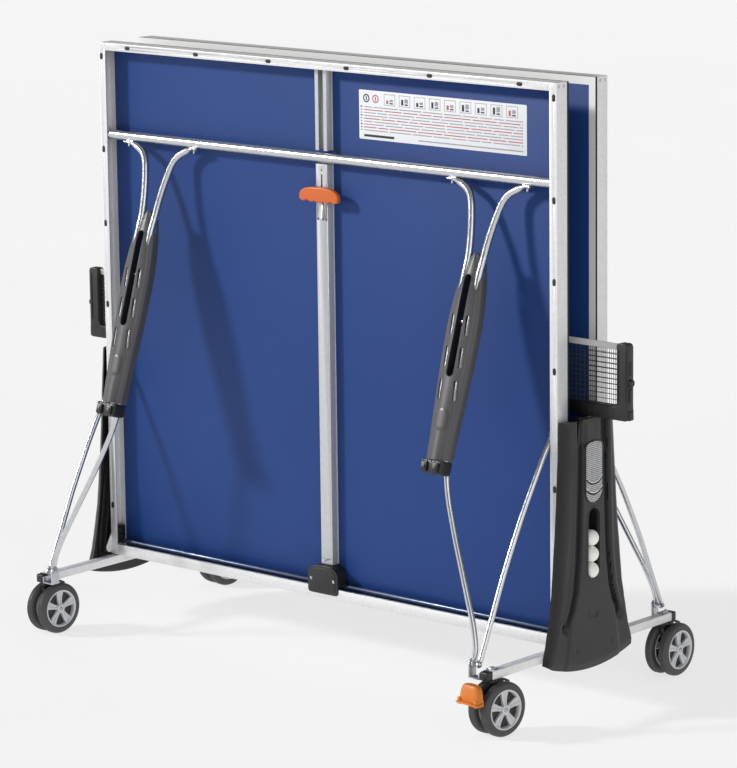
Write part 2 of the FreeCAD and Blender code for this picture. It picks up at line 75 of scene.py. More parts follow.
# ---------------------------------------------------------------- materials
BLACK = (0, 0, 0, 1)
WHITE = (1, 1, 1, 1)
SIDE_LINE = 0.7425
END_LINE = 1.516
CENTRE_LINE_HALF = 0.0015


def srgb(*colour):
    """Linear colour from 0 to 255 display values."""
    scaled = [c / 255.0 for c in colour]
    return tuple(c / 12.92 if c <= 0.04045 else ((c + 0.055) / 1.055) ** 2.4 for c in scaled) + (1.0,)


class Nodes:
    """Small wrapper that adds shader nodes and links them."""

    def __init__(self, name):
        self.mat = bpy.data.materials.new(name)
        self.mat.use_nodes = True
        self.tree = self.mat.node_tree
        self.shader = self.tree.nodes["Principled BSDF"]
        self.coord = self.add("ShaderNodeTexCoord").outputs["Object"]

    def add(self, kind, inputs=None, **props):
        node = self.tree.nodes.new(kind)
        for key, value in props.items():
            setattr(node, key, value)
        for key, value in (inputs or {}).items():
            self.put(value, node.inputs[key])
        return node

    def put(self, value, socket):
        if isinstance(value, bpy.types.NodeSocket):
            self.tree.links.new(value, socket)
        else:
            socket.default_value = value

    def wear(self, socket, value):
        """Links a varying value to the shader."""
        self.put(value, self.shader.inputs[socket])

    def fixed(self, socket, value):
        """Sets a value that is the same all over the surface."""
        self.shader.inputs[socket].default_value = value

    def math(self, op, a, b=0.0):
        return self.add("ShaderNodeMath", {0: a, 1: b}, operation=op).outputs[0]

    def noise(self, scale, detail=3.0, rough=0.55, vector=None):
        node = self.add("ShaderNodeTexNoise", {"Scale": scale, "Detail": detail, "Roughness": rough})
        self.put(vector or self.coord, node.inputs["Vector"])
        return node.outputs["Fac"]

    def ramp(self, fac, stops):
        node = self.add("ShaderNodeValToRGB", {"Fac": fac})
        while len(node.color_ramp.elements) < len(stops):
            node.color_ramp.elements.new(0.5)
        for element, (at, colour) in zip(node.color_ramp.elements, stops):
            element.position = at
            element.color = colour
        return node.outputs["Color"]

    def mix(self, fac, a, b):
        node = self.add("ShaderNodeMix", data_type="RGBA")
        self.put(fac, node.inputs["Factor"])
        self.put(a, node.inputs["A"])
        self.put(b, node.inputs["B"])
        return node.outputs["Result"]

    def multiply(self, a, b):
        node = self.add("ShaderNodeMix", {6: a, 7: b, 0: 1.0}, data_type="RGBA", blend_type="MULTIPLY")
        return node.outputs[2]

    def spread(self, value, low, high):
        """Maps the middle of a noise to a range of roughness."""
        node = self.add("ShaderNodeMapRange", {"Value": value, "From Min": 0.3, "From Max": 0.7,
                                               "To Min": low, "To Max": high})
        return node.outputs[0]

    def bump(self, height, strength, distance):
        node = self.add("ShaderNodeBump", {"Height": height, "Strength": strength, "Distance": distance})
        return node.outputs["Normal"]

    def axes(self):
        return self.add("ShaderNodeSeparateXYZ", {"Vector": self.coord}).outputs

    def scaled(self, sx, sy, sz):
        return self.add("ShaderNodeMapping", {"Vector": self.coord, "Scale": (sx, sy, sz)}).outputs["Vector"]


def scale_colour(c, k):
    return tuple(min(v * k, 1) for v in c[:3]) + (1.0,)


def surface(name, colour, rough, metal=0.0, vary=0.08, patch=5.0, grain=900.0, bump=0.15, deep=0.00012,
            edge=1.25, coat=0.0, spec=0.5):
    """General plastic or paint: broad tone patches, fine grain and paler convex edges."""
    n = Nodes(name)
    broad = n.noise(patch, 4.0)
    fine = n.noise(grain, 2.0, 0.6)
    base = n.ramp(broad, [(0.3, scale_colour(colour, 1 - vary)), (0.7, scale_colour(colour, 1 + vary))])
    convexity = n.add("ShaderNodeNewGeometry").outputs["Pointiness"]
    mask = n.ramp(convexity, [(0.52, BLACK), (0.60, WHITE)])
    base = n.mix(n.math("MULTIPLY", mask, 0.6), base, scale_colour(colour, edge))
    n.wear("Base Color", base)
    n.fixed("Metallic", metal)
    n.fixed("Specular IOR Level", spec)
    n.fixed("Coat Weight", coat)
    n.fixed("Coat Roughness", 0.15)
    n.wear("Roughness", n.spread(n.noise(patch * 3.0, 5.0), rough - 0.06, rough + 0.08))
    n.wear("Normal", n.bump(fine, bump, deep))
    return n.mat


def painted_shade_cover_material(name, colour, *more):
    """Moulded cover: the general plastic with painted shade, darker where the mesh's groove attribute is
    high, in the channels and on the side walls.
    """
    mat = surface(name, colour, *more)
    tree = mat.node_tree
    base = tree.nodes["Principled BSDF"].inputs["Base Color"]
    groove = tree.nodes.new("ShaderNodeAttribute")
    groove.attribute_name = "groove"
    blend = tree.nodes.new("ShaderNodeMix")
    blend.data_type = "RGBA"
    # painted shade colour, blended in by the groove attribute
    blend.inputs["B"].default_value = scale_colour(colour, 0.12)
    tree.links.new(groove.outputs["Fac"], blend.inputs["Factor"])
    tree.links.new(base.links[0].from_socket, blend.inputs["A"])
    tree.links.new(blend.outputs["Result"], base)
    return mat


def deck_material(name, side):
    """Laminate board: blue faces, white line on the playing side, black sealed edge."""
    n = Nodes(name)
    xyz = n.axes()
    normal = n.add("ShaderNodeSeparateXYZ", {"Vector": n.add("ShaderNodeTexCoord").outputs["Normal"]}).outputs
    flat = n.math("GREATER_THAN", n.math("ABSOLUTE", normal[1]), 0.8)
    play = n.math("GREATER_THAN", n.math("MULTIPLY", normal[1], -side), 0.5)
    across = n.math("ABSOLUTE", xyz[0])
    line = n.math("GREATER_THAN", across, SIDE_LINE)
    line = n.math("MAXIMUM", line, n.math("GREATER_THAN", xyz[2], END_LINE))
    line = n.math("MAXIMUM", line, n.math("LESS_THAN", across, CENTRE_LINE_HALF))
    line = n.math("MULTIPLY", line, play)
    broad = n.noise(2.2, 4.0)
    under = n.ramp(broad, [(0.3, srgb(27, 60, 123)), (0.7, srgb(30, 64, 128))])
    top = n.ramp(broad, [(0.3, srgb(31, 66, 129)), (0.7, srgb(33, 68, 132))])
    speck = n.ramp(n.noise(1400.0, 2.0), [(0.35, (0.94, 0.94, 0.94, 1)), (0.65, WHITE)])
    face = n.multiply(n.mix(play, under, top), speck)
    face = n.mix(line, face, srgb(232, 232, 228))
    edge = n.ramp(n.noise(40.0), [(0.3, srgb(16, 17, 20)), (0.7, srgb(26, 27, 30))])
    n.wear("Base Color", n.mix(flat, edge, face))
    n.wear("Roughness", n.spread(n.noise(7.0, 5.0), 0.45, 0.52))
    pores = n.add("ShaderNodeTexVoronoi", {"Scale": 1100.0, "Vector": n.coord}).outputs["Distance"]
    n.wear("Normal", n.bump(pores, 0.10, 0.0001))
    n.fixed("Specular IOR Level", 0.28)
    return n.mat


def steel_material(name, colour, rough, spangle=0.10, metal=0.85):
    """Galvanised or lacquered steel with faint crystalline patches and long draw marks."""
    n = Nodes(name)
    cells = n.add("ShaderNodeTexVoronoi", {"Scale": 190.0, "Vector": n.coord}).outputs["Color"]
    grey = n.add("ShaderNodeRGBToBW", {"Color": cells}).outputs[0]
    dull, bright = scale_colour(colour, 1 - spangle), scale_colour(colour, 1 + spangle * 0.6)
    base = n.ramp(grey, [(0.2, dull), (0.8, bright)])
    streak = n.noise(30.0, 4.0, 0.6, n.scaled(6.0, 6.0, 0.25))
    n.wear("Base Color", n.mix(n.math("MULTIPLY", streak, 0.16), base, scale_colour(colour, 0.72)))
    n.fixed("Metallic", metal)
    n.wear("Roughness", n.spread(streak, rough - 0.05, rough + 0.10))
    n.wear("Normal", n.bump(n.noise(500.0, 3.0), 0.12, 0.0001))
    return n.mat


def dotted_material(name, ground, dots, scale):
    """Moulded pad with a field of small raised dots."""
    n = Nodes(name)
    flat = n.scaled(0.0, 1.0, 1.0)
    cells = n.add("ShaderNodeTexVoronoi", {"Scale": scale, "Vector": flat, "Randomness": 0.0})
    gap = cells.outputs["Distance"]
    mask = n.ramp(gap, [(0.34, WHITE), (0.44, BLACK)])
    tone = n.ramp(n.noise(30.0), [(0.3, scale_colour(dots, 0.9)), (0.7, scale_colour(dots, 1.08))])
    n.wear("Base Color", n.mix(mask, ground, tone))
    n.fixed("Roughness", 0.5)
    n.wear("Normal", n.bump(n.ramp(gap, [(0.10, WHITE), (0.42, BLACK)]), 0.9, 0.0007))
    return n.mat


def woven_material(name, colour, scale):
    """Cloth or cord: two crossing sets of threads."""
    n = Nodes(name)
    waves = [n.add("ShaderNodeTexWave", {"Scale": scale, "Vector": n.coord}, bands_direction=way)
             for way in ("X", "Z")]
    threads = [wave.outputs["Fac"] for wave in waves]
    weave = n.math("MULTIPLY", *threads)
    n.wear("Base Color", n.ramp(weave, [(0.0, scale_colour(colour, 0.72)), (0.7, colour)]))
    n.fixed("Roughness", 0.85)
    n.fixed("Sheen Weight", 0.25)
    n.wear("Normal", n.bump(weave, 0.5, 0.0003))
    return n.mat


def netting_material(name, pitch):
    """Knotted net: thin cords on a square pitch, open between them."""
    n = Nodes(name)
    xyz = n.axes()
    masks = []
    for axis in (0, 2):
        cell = n.math("FRACT", n.math("MULTIPLY", n.math("ADD", xyz[axis], 10.0), 1.0 / pitch))
        off = n.math("ABSOLUTE", n.math("SUBTRACT", cell, 0.5))
        masks.append(n.math("GREATER_THAN", off, 0.445))
    n.wear("Alpha", n.math("MAXIMUM", *masks))
    twist = n.noise(2500.0, 2.0)
    n.wear("Base Color", n.ramp(twist, [(0.3, srgb(14, 15, 17)), (0.7, srgb(44, 46, 50))]))
    n.fixed("Roughness", 0.8)
    n.wear("Normal", n.bump(twist, 0.4, 0.0002))
    n.mat.surface_render_method = "DITHERED"
    return n.mat


M = {}
# key, material name, colour, roughness, spangle, metallic
STEELS = (
    ("rail", "frame_steel", (226, 226, 227), 0.44, 0.05, 0.45),
    ("beam", "beam_steel", (200, 201, 203), 0.46, 0.05, 0.45),
    ("tube", "tube_steel", (206, 208, 211), 0.20, 0.05, 0.97),
    ("base", "base_steel", (236, 236, 236), 0.42, 0.05, 0.30),
    ("zinc", "zinc_hardware", (196, 197, 200), 0.33, 0.10, 0.9),
    ("rod", "lock_rod_steel", (104, 114, 138), 0.32, 0.06, 0.9),
)
# key, material name, colour, roughness, metallic, tone change, patch scale, grain scale, bump, bump depth,
# edge tone, coat
SURFACES = (
    ("frame_black", "black_frame", (34, 34, 36), 0.45, 0.2, 0.10, 6.0, 700.0, 0.2),
    # painted shade: a near-black colour for the insides of openings, channels and recesses
    ("pod_dark", "recess_plastic", (20, 20, 22), 0.6, 0.0, 0.10, 7.0, 1500.0, 0.3),
    ("shell", "leg_shell_plastic", (76, 76, 78), 0.36, 0.0, 0.07, 6.0, 1600.0, 0.30, 0.0002, 1.5),
    ("black", "black_plastic", (26, 26, 28), 0.42, 0.0, 0.12, 9.0, 1300.0, 0.25, 0.0002, 1.8),
    ("orange", "orange_plastic", (208, 98, 22), 0.46, 0.0, 0.05, 8.0, 1200.0, 0.16, 0.0001, 1.12, 0.1),
    ("pedal", "pedal_plastic", (214, 118, 18), 0.44, 0.0, 0.05, 8.0, 1200.0, 0.16, 0.0001, 1.12, 0.1),
    ("tyre", "tyre_rubber", (66, 66, 67), 0.52, 0.0, 0.14, 14.0, 1800.0, 0.45, 0.0003, 1.5),
    ("rim", "rim_plastic", (200, 201, 203), 0.36, 0.25, 0.05, 9.0, 1200.0, 0.12, 0.0001, 1.15),
    ("ball", "ball_shell", (246, 245, 240), 0.45, 0.0, 0.02, 12.0, 1500.0, 0.05, 0.0001, 1.0),
    ("light_rib", "light_rib", (228, 230, 232), 0.45, 0.0, 0.05),
    ("label", "label_film", (222, 224, 227), 0.42, 0.0, 0.01, 4.0, 1200.0, 0.05),
    ("print_red", "print_red", (176, 92, 98), 0.5, 0.0, 0.06),
    ("print_grey", "print_grey", (150, 148, 156), 0.5, 0.0, 0.06),
    ("print_dark", "print_dark", (40, 40, 46), 0.5, 0.0, 0.06),
)


def make_materials():
    for side, facing in (("front", -1), ("back", 1)):
        M["deck_" + side] = deck_material("deck_" + side, facing)
    for key, name, colour, *rest in STEELS:
        M[key] = steel_material(name, srgb(*colour), *rest)
    for key, name, colour, *rest in SURFACES:
        M[key] = surface(name, srgb(*colour), *rest)
    # cover plastic with painted shade in its channels and on its side walls
    M["pod"] = painted_shade_cover_material("cover_plastic_painted_shade", srgb(58, 58, 59), 0.33, 0.0, 0.10, 7.0, 1500.0, 0.35, 0.00025,
                              1.6, 0.0, 0.2)
    M["pad"] = dotted_material("dotted_pad", srgb(84, 85, 88), srgb(214, 216, 218), 210.0)
    M["net"] = netting_material("net_cords", 0.0125)
    M["strand"] = woven_material("net_strand", srgb(34, 35, 38), 900.0)
    M["tape"] = woven_material("net_tape_cloth", srgb(236, 236, 232), 520.0)


# ---------------------------------------------------------------- mesh helpers (millimetres in, metres out)
def link_object(name, data):
    obj = bpy.data.objects.new(name, data)
    bpy.context.scene.collection.objects.link(obj)
    return obj


def mark_sharp(mesh, degrees):
    """Smooth faces, with the edges steeper than the angle kept sharp."""
    bm = bmesh.new()
    bm.from_mesh(mesh)
    limit = math.radians(degrees)
    for e in bm.edges:
        if len(e.link_faces) == 2:
            e.smooth = e.calc_face_angle(0.0) < limit
    for f in bm.faces:
        f.smooth = True
    bm.to_mesh(mesh)
    bm.free()


def mesh_object(name, verts, faces, weld=True):
    """Object from millimetre points, with its normals turned outwards."""
    mesh = bpy.data.meshes.new(name)
    mesh.from_pydata([tuple(c * MM for c in v) for v in verts], [], [tuple(f) for f in faces])
    bm = bmesh.new()
    bm.from_mesh(mesh)
    if weld:
        bmesh.ops.remove_doubles(bm, verts=bm.verts, dist=WELD_DISTANCE)
    bmesh.ops.recalc_face_normals(bm, faces=bm.faces)
    bm.to_mesh(mesh)
    bm.free()
    return link_object(name, mesh)


def piece(name, verts, faces, mat, body, slot=None, nodes=(), sharp=35.0, weld=True):
    """One object that rides on a body, wears a material of M and may stand for CAD nodes."""
    obj = mesh_object(name, verts, faces, weld)
    mesh = obj.data
    mark_sharp(mesh, sharp)
    mesh.materials.append(M[mat])
    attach(obj, body)
    if nodes:
        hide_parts(*nodes)
    return obj


class Build:
    """Collects vertices and faces of several shapes that make one piece."""

    def __init__(self):
        self.verts = []
        self.faces = []

    def add(self, verts, faces):
        base = len(self.verts)
        self.verts.extend([tuple(v) for v in verts])
        self.faces.extend([tuple(i + base for i in f) for f in faces])
        return self

    def join(self, other):
        return self.add(other.verts, other.faces)

    def mapped(self, change):
        out = Build()
        out.verts = [tuple(change(Vector(v))) for v in self.verts]
        out.faces = list(self.faces)
        return out

    def flipped(self, axis):
        out = Build()
        out.verts = [tuple(-c if k == axis else c for k, c in enumerate(v)) for v in self.verts]
        out.faces = [tuple(reversed(f)) for f in self.faces]
        return out

    def make(self, name, mat, body, **more):
        return piece(name, self.verts, self.faces, mat, body, **more)


def loft(rings, closed=True, caps=True):
    """Joins rings of equal length with quads; each ring is a list of points."""
    out = Build()
    n = len(rings[0])
    verts = [p for ring in rings for p in ring]
    faces = []
    for k in range(len(rings) - 1):
        for i in range(n if closed else n - 1):
            j = (i + 1) % n
            faces.append((k * n + i, k * n + j, (k + 1) * n + j, (k + 1) * n + i))
    if caps:
        faces.append(tuple(reversed(range(n))))
        faces.append(tuple((len(rings) - 1) * n + i for i in range(n)))
    return out.add(verts, faces)


def lathe(profile, steps=64, centre=(0, 0, 0), axis="x", closed=False):
    """Turns (radius, along) points about an axis."""
    out = Build()
    n = len(profile)
    for s in range(steps):
        a = 2 * math.pi * s / steps
        for radius, along in profile:
            u = radius * math.cos(a)
            w = radius * math.sin(a)
            if axis == "x":
                p = (centre[0] + along, centre[1] + u, centre[2] + w)
            elif axis == "y":
                p = (centre[0] + u, centre[1] + along, centre[2] + w)
            else:
                p = (centre[0] + u, centre[1] + w, centre[2] + along)
            out.verts.append(p)
    last = n if closed else n - 1
    for s in range(steps):
        t = (s + 1) % steps
        for i in range(last):
            j = (i + 1) % n
            out.faces.append((s * n + i, s * n + j, t * n + j, t * n + i))
    return out


def offset_outline(points, inset):
    """Moves a smooth closed outline inwards."""
    n = len(points)
    pairs = zip(points, points[1:] + points[:1])
    area = sum(p[0] * q[1] - q[0] * p[1] for p, q in pairs)
    sign = 1.0 if area > 0 else -1.0
    out = []
    for i in range(n):
        a = Vector(points[i - 1])
        b = Vector(points[i])
        c = Vector(points[(i + 1) % n])
        d1 = (b - a).normalized()
        d2 = (c - b).normalized()
        t = (d1 + d2)
        t = t.normalized() if t.length > 1e-6 else d1
        nrm = Vector((-t.y, t.x)) * sign
        grow = 1.0 / max(0.5, math.sqrt(max(0.0, (1 + d1.dot(d2)) / 2)))
        out.append((b.x + nrm.x * inset * grow, b.y + nrm.y * inset * grow))
    return out


def facing_y(a, b, depth):
    return a, depth, b


def facing_x(a, b, depth):
    return depth, a, b


def facing_z(a, b, depth):
    return a, b, depth


def pillow(outline, levels, place=facing_y):
    """Solid from a smooth outline: levels are (depth, inset); place maps (a, b, depth) to a point."""
    rings = []
    for depth, inset in levels:
        rings.append([place(a, b, depth) for a, b in (offset_outline(outline, inset) if inset else outline)])
    return loft(rings)


def rounded_levels(d0, d1, r, steps=4):
    """Depth levels of a slab from d0 to d1 whose rims are rounded with radius r."""
    way = 1 if d1 > d0 else -1
    rim = []
    for k in range(steps + 1):
        a = math.pi / 2 * k / steps
        rim.append((way * r * (1 - math.cos(a)), r * (1 - math.sin(a))))
    first = [(d0 + depth, inset) for depth, inset in rim]
    last = [(d1 - depth, inset) for depth, inset in reversed(rim)]
    return first + last


def rounded_rect(x0, x1, z0, z1, r, steps=6):
    pts = []
    corners = ((x1 - r, z1 - r, 0), (x0 + r, z1 - r, 90), (x0 + r, z0 + r, 180), (x1 - r, z0 + r, 270))
    for cx, cz, a0 in corners:
        for k in range(steps + 1):
            a = math.radians(a0 + 90.0 * k / steps)
            pts.append((cx + r * math.cos(a), cz + r * math.sin(a)))
    return pts


def stadium(cx, z0, z1, r, steps=12):
    """Upright slot outline: two half circles round (cx, z0) and (cx, z1)."""
    turns = [math.pi * k / steps for k in range(steps + 1)]
    high = [(cx + r * math.cos(a), z1 + r * math.sin(a)) for a in turns]
    low = [(cx - r * math.cos(a), z0 - r * math.sin(a)) for a in turns]
    return high + low


def smooth_path(points, per=8):
    """Catmull-Rom line through the points."""
    pts = [Vector(p) for p in points]
    out = []
    n = len(pts)
    for i in range(n - 1):
        p0 = pts[i - 1] if i else pts[0] * 2 - pts[1]
        p1, p2 = pts[i], pts[i + 1]
        p3 = pts[i + 2] if i + 2 < n else pts[-1] * 2 - pts[-2]
        for k in range(per):
            t = k / per
            out.append(0.5 * ((2 * p1) + (p2 - p0) * t + (2 * p0 - 5 * p1 + 4 * p2 - p3) * t * t
                              + (3 * p1 - p0 - 3 * p2 + p3) * t * t * t))
    out.append(pts[-1])
    return out


def ring_frame(path):
    """Twist-free frames along a path."""
    frames = []
    n = len(path)
    normal = None
    for i in range(n):
        t = (path[min(i + 1, n - 1)] - path[max(i - 1, 0)]).normalized()
        if normal is None:
            seed = Vector((0, 1, 0)) if abs(t.y) < 0.8 else Vector((1, 0, 0))
            normal = (seed - t * seed.dot(t)).normalized()
        else:
            normal = (normal - t * normal.dot(t)).normalized()
        frames.append((t, normal, t.cross(normal)))
    return frames


def pipe(points, radius, wall=1.4, segs=22, per=8, press=None):
    """Hollow round tube along a smooth path. press(i, n) gives (wide, thin) factors, for flattened ends."""
    path = smooth_path(points, per)
    turns = [2 * math.pi * k / segs for k in range(segs)]
    walls = ([], [])
    for i, (p, (t, a, b)) in enumerate(zip(path, ring_frame(path))):
        wide, thin = press(i, len(path)) if press else (1.0, 1.0)
        for rings, r in zip(walls, (radius, radius - wall)):
            rings.append([tuple(p + a * (r * wide * math.cos(q)) + b * (r * thin * math.sin(q)))
                          for q in turns])
    outer, inner = walls
    return loft(outer + list(reversed(inner)) + [outer[0]], caps=False)


def pressed_end(share, wide, thin, both=False):
    """Press function of a tube flattened by wide and thin at its start, or at both of its ends."""
    def press(i, count):
        near = min(i, count - 1 - i) if both else i
        t = min(1.0, near / (count * share))
        return 1.0 + wide * (1 - t), 1.0 - thin * (1 - t)
    return press


def solid_rod(points, radius, segs=20, per=8, dome=0.35):
    """Round bar along a smooth path, with its ends chamfered by the share dome of the radius."""
    path = smooth_path(points, per)
    last = len(path) - 1
    rings = []
    for i, (p, (t, a, b)) in enumerate(zip(path, ring_frame(path))):
        small, full = (radius * (1 - dome), 0), (radius, radius * dome)
        levels = [(radius, 0)]
        if i == 0:
            levels = [small, full]
        elif i == last:
            levels = [(radius, -radius * dome), small]
        for r, shift in levels:
            turns = [2 * math.pi * k / segs for k in range(segs)]
            rings.append([tuple(p + t * shift + a * (r * math.cos(q)) + b * (r * math.sin(q)))
                          for q in turns])
    return loft(rings)


def head_rings(centre, axis, levels, hexagonal):
    """Rings of a fastener's head along axis; hexagonal(k, radius) says which rings have six sides."""
    w = Vector(axis).normalized()
    seed = Vector((0, 0, 1)) if abs(w.z) < 0.8 else Vector((1, 0, 0))
    u = (seed - w * seed.dot(w)).normalized()
    v = w.cross(u)
    c = Vector(centre)
    rings = []
    for k, (h, r) in enumerate(levels):
        ring = []
        for s in range(HEAD_SIDES):
            a = 2 * math.pi * s / HEAD_SIDES
            q = r
            if hexagonal(k, r):
                q = r * math.cos(math.pi / 6) / math.cos((a % (math.pi / 3)) - math.pi / 6)
            ring.append(tuple(c + w * h + u * (q * math.cos(a)) + v * (q * math.sin(a))))
        rings.append(ring)
    return loft(rings)


def bolt(centre, axis, radius, height, socket=True):
    """Domed head with a washer and a hex socket, growing along axis."""
    levels = [(0, radius * 1.35), (height * 0.18, radius * 1.35), (height * 0.2, radius),
              (height * 0.6, radius), (height * 0.85, radius * 0.86), (height, radius * 0.6)]
    if socket:
        levels += [(height, radius * 0.45), (height * 0.5, radius * 0.42)]
    return head_rings(centre, axis, levels, lambda k, r: k >= 6)


def hex_nut(centre, axis, across, height):
    """Hexagonal nut with the rounded thread end above it."""
    levels = [(0, across * 0.55), (height * 0.8, across * 0.575), (height, across * 0.5),
              (height, across * 0.28), (height * 1.5, across * 0.27), (height * 1.6, across * 0.2)]
    return head_rings(centre, axis, levels, lambda k, r: r >= across * 0.4)


def block(x0, x1, y0, y1, z0, z1, r=1.5):
    """Box with rounded edges on all sides."""
    r = min(r, (x1 - x0) / 2.2, (y1 - y0) / 2.2, (z1 - z0) / 2.2)
    outline = rounded_rect(x0, x1, z0, z1, r, 4)
    return pillow(outline, rounded_levels(y0, y1, r * 0.8, 2))


def cad_look(node, mat, bevel):
    """Keeps a CAD node's shape: material, welded corners and a small edge radius."""
    obj = NODES[node]
    obj.data.materials.clear()
    obj.data.materials.append(M[mat])
    for face in obj.data.polygons:
        face.use_smooth = True
    mod = obj.modifiers.new("weld", "WELD")
    mod.merge_threshold = 0.00001
    mod = obj.modifiers.new("edge", "BEVEL")
    mod.width = bevel * MM
    mod.segments = 2
    mod.limit_method = "ANGLE"
    mod.angle_limit = math.radians(40)
    mod.harden_normals = True
    mod.use_clamp_overlap = True


def cut_mesh(build, cutters):
    """Boolean difference, returned as a Build in millimetres."""
    body = mesh_object("cut_body", build.verts, build.faces)
    group = Build()
    for c in cutters:
        group.add(c.verts, c.faces)
    tool = mesh_object("cut_tool", group.verts, group.faces)
    mod = body.modifiers.new("cut", "BOOLEAN")
    mod.operation = "DIFFERENCE"
    mod.solver = "EXACT"
    mod.use_self = True
    mod.object = tool
    bpy.context.view_layer.update()
    done = body.evaluated_get(bpy.context.evaluated_depsgraph_get()).to_mesh()
    out = Build()
    out.verts = [tuple(c / MM for c in v.co) for v in done.vertices]
    out.faces = [tuple(p.vertices) for p in done.polygons]
    for o in (body, tool):
        mesh = o.data
        bpy.data.objects.remove(o)
        bpy.data.meshes.remove(mesh)
    return out


# ---------------------------------------------------------------- placement helpers
def halves():
    yield "front", lambda b: b
    yield "back", lambda b: b.flipped(1)


def both_ends(b):
    """The shape and its mirror image at the table's other end."""
    return Build().join(b).join(b.flipped(0))


def four_corners(b):
    out = Build()
    for end in (b, b.flipped(0)):
        out.join(end).join(end.flipped(1))
    return out


def leg_place(b, cx=0.0):
    """From the leg's own frame, with its bar at the origin, to the leaned leg at cx."""
    c = math.cos(math.radians(-LEG_TILT))
    s = math.sin(math.radians(-LEG_TILT))
    return b.mapped(lambda p: Vector((p.x + cx, p.y * c - p.z * s + BAR_Y, p.y * s + p.z * c + BAR_Z)))


def lean_place(b, pivot_top):
    """From an upright link with its foot at the origin to the lean between its two pivots (y, z)."""
    dy = pivot_top[0] - BASE_PIVOT[0]
    dz = pivot_top[1] - BASE_PIVOT[1]
    c, s = dz / reach(pivot_top), -dy / reach(pivot_top)
    y, z = BASE_PIVOT
    return b.mapped(lambda p: Vector((p.x, p.y * c - p.z * s + y, p.y * s + p.z * c + z)))


def reach(pivot_top):
    return math.hypot(pivot_top[0] - BASE_PIVOT[0], pivot_top[1] - BASE_PIVOT[1])


# ---------------------------------------------------------------- carried-over nodes
def dress_cad():
    for side in ("front", "back"):
        for node, mat, bevel in (("top_board_", "deck_" + side, 0.8), ("side_rails_", "rail", 0.5),
                                 ("cross_rails_", "rail", 0.5), ("centre_beam_", "beam", 0.6),
                                 ("guide_shoes_", "black", 0.4), ("lock_rod_left_", "rod", 0.3),
                                 ("lock_rod_right_", "rod", 0.3)):
            cad_look(node + side, mat, bevel)
    for node, mat, bevel in (("base_tube_left", "base", 0.4), ("base_tube_right", "base", 0.4),
                             ("crossbeam", "base", 1.2), ("end_frames", "frame_black", 0.5),
                             ("stay_brackets", "zinc", 0.4)):
        cad_look(node, mat, bevel)


# ---------------------------------------------------------------- half tops
def lip_plugs():
    plugs = Build()
    levels = rounded_levels(FRONT_Y + 3, FRONT_Y - 0.8, 0.7, 2)
    for z in SIDE_HOLES_Z:
        plugs.join(both_ends(pillow(stadium(HALF_WIDTH - 9, z - 4, z + 4, 4.8, 8), levels)))
    for x in TOP_HOLES_X:
        plugs.join(pillow([(b + x, a + TOP_Z - 10) for a, b in stadium(0, -4, 4, 4.8, 8)], levels))
    return plugs


def frame_rivets():
    pins = Build()
    for x in (-14, 12):
        pins.join(bolt((x, -80.6, 268), (0, -1, 0), 2.4, 1.6, False))
    for z in (176, 1526):
        for y in (-88, -70):
            pins.join(both_ends(bolt((HALF_WIDTH, y, z), (1, 0, 0), 3.2, 1.4, False)))
    return pins


def beam_opening_shade():
    # painted shade: dark discs in the beam's openings and a dark plate in its slot
    dark = Build()
    for x in (-14, 3, 14):
        dark.join(bolt((x, -81.4, 1139), (0, -1, 0), 2.1, 0.8, False))
    return dark.join(block(-6, 6, -75.2, -73.6, 1206, 1266, 0.4))


def frame_welds():
    seams = Build()
    x = HALF_WIDTH - 22.5
    for z0, z1 in ((168, 193), (1517, 1534)):
        line = [(x, FRONT_Y + 0.2, z0 + (z1 - z0) * k / 6.0) for k in range(7)]
        seams.join(both_ends(solid_rod(line, 0.9, 8, 2)))
    return seams


def beam_sealant():
    lining = Build()
    for z0, z1 in ((252, 1277), (1313, 1533)):
        lining.join(both_ends(block(18.9, 20.3, -60.5, -58.0, z0, z1, 0.5)))
    return lining


def frame_details():
    """Plugs in the lip holes, rivets, painted shade in the beam's openings, and the beads at the frame
    corners.
    """
    shapes = (("frame_plugs_", "black", lip_plugs()), ("frame_rivets_", "zinc", frame_rivets()),
              ("beam_opening_shade_", "pod_dark", beam_opening_shade()), ("frame_welds_", "rail", frame_welds()),
              ("beam_sealant_", "rail", beam_sealant()))
    for side, put in halves():
        for name, mat, shape in shapes:
            put(shape).make(name + side, mat, "half_top_" + side)


def lock_case():
    """Arched cap on the beam's foot, in three steps."""
    rim = []
    for k in range(13):
        a = math.pi * k / 12
        x = math.copysign(abs(math.cos(a)) ** 0.75, math.cos(a)) * 51
        rim.append((x, 224 + 26.5 * math.sin(a) ** 0.8))
    rim += [(-51, 200), (-50.5, 183), (-47, 178.5), (-40, 177.2)]
    rim += [(40, 177.2), (47, 178.5), (50.5, 183), (51, 200)]
    inner = [(x * 0.86, 213 + (z - 213) * 0.84) for x, z in rim]
    core = [(x * 0.97, 222 + (z - 222) * 0.96) for x, z in rim if z > 199] + [(-49, 197), (49, 197)]
    case = pillow(rim, rounded_levels(-96.6, -100.0, 1.6, 3))
    case.join(pillow(inner, rounded_levels(-99.5, -101.3, 1.2, 3)))
    return case.join(pillow(core, [(-97, 0), (-62, 0), (-60.5, 1.5)]))


def lock_latch():
    part = block(741.5, 760.4, -92, -64, 195, 242, 2.5)
    part.join(block(737, 746, -88, -70, 224, 238, 2.0))
    part.join(block(735.5, 742, -85, -73, 208, 217, 1.8))
    collar = [(8.2, 736.5), (8.2, 741), (7.0, 742), (5.3, 742), (5.3, 736.5)]
    part.join(lathe(collar, 28, (0, -78, 202), "x", True))
    return part.join(bolt((741.6, -86, 231), (-1, 0, 0), 3.0, 2.0))


def bar_bearing():
    """Bushing of the leg bar, cut flat so that it stays behind the rail's face."""
    profile = [(12.65, 744.6), (16.0, 744.6), (16.6, 745.4), (16.6, 760), (12.65, 760)]
    ring = lathe(profile, 40, (0, BAR_Y, BAR_Z), "x", True)
    return ring.mapped(lambda p: Vector((p.x, max(p.y, -94.9), p.z)))


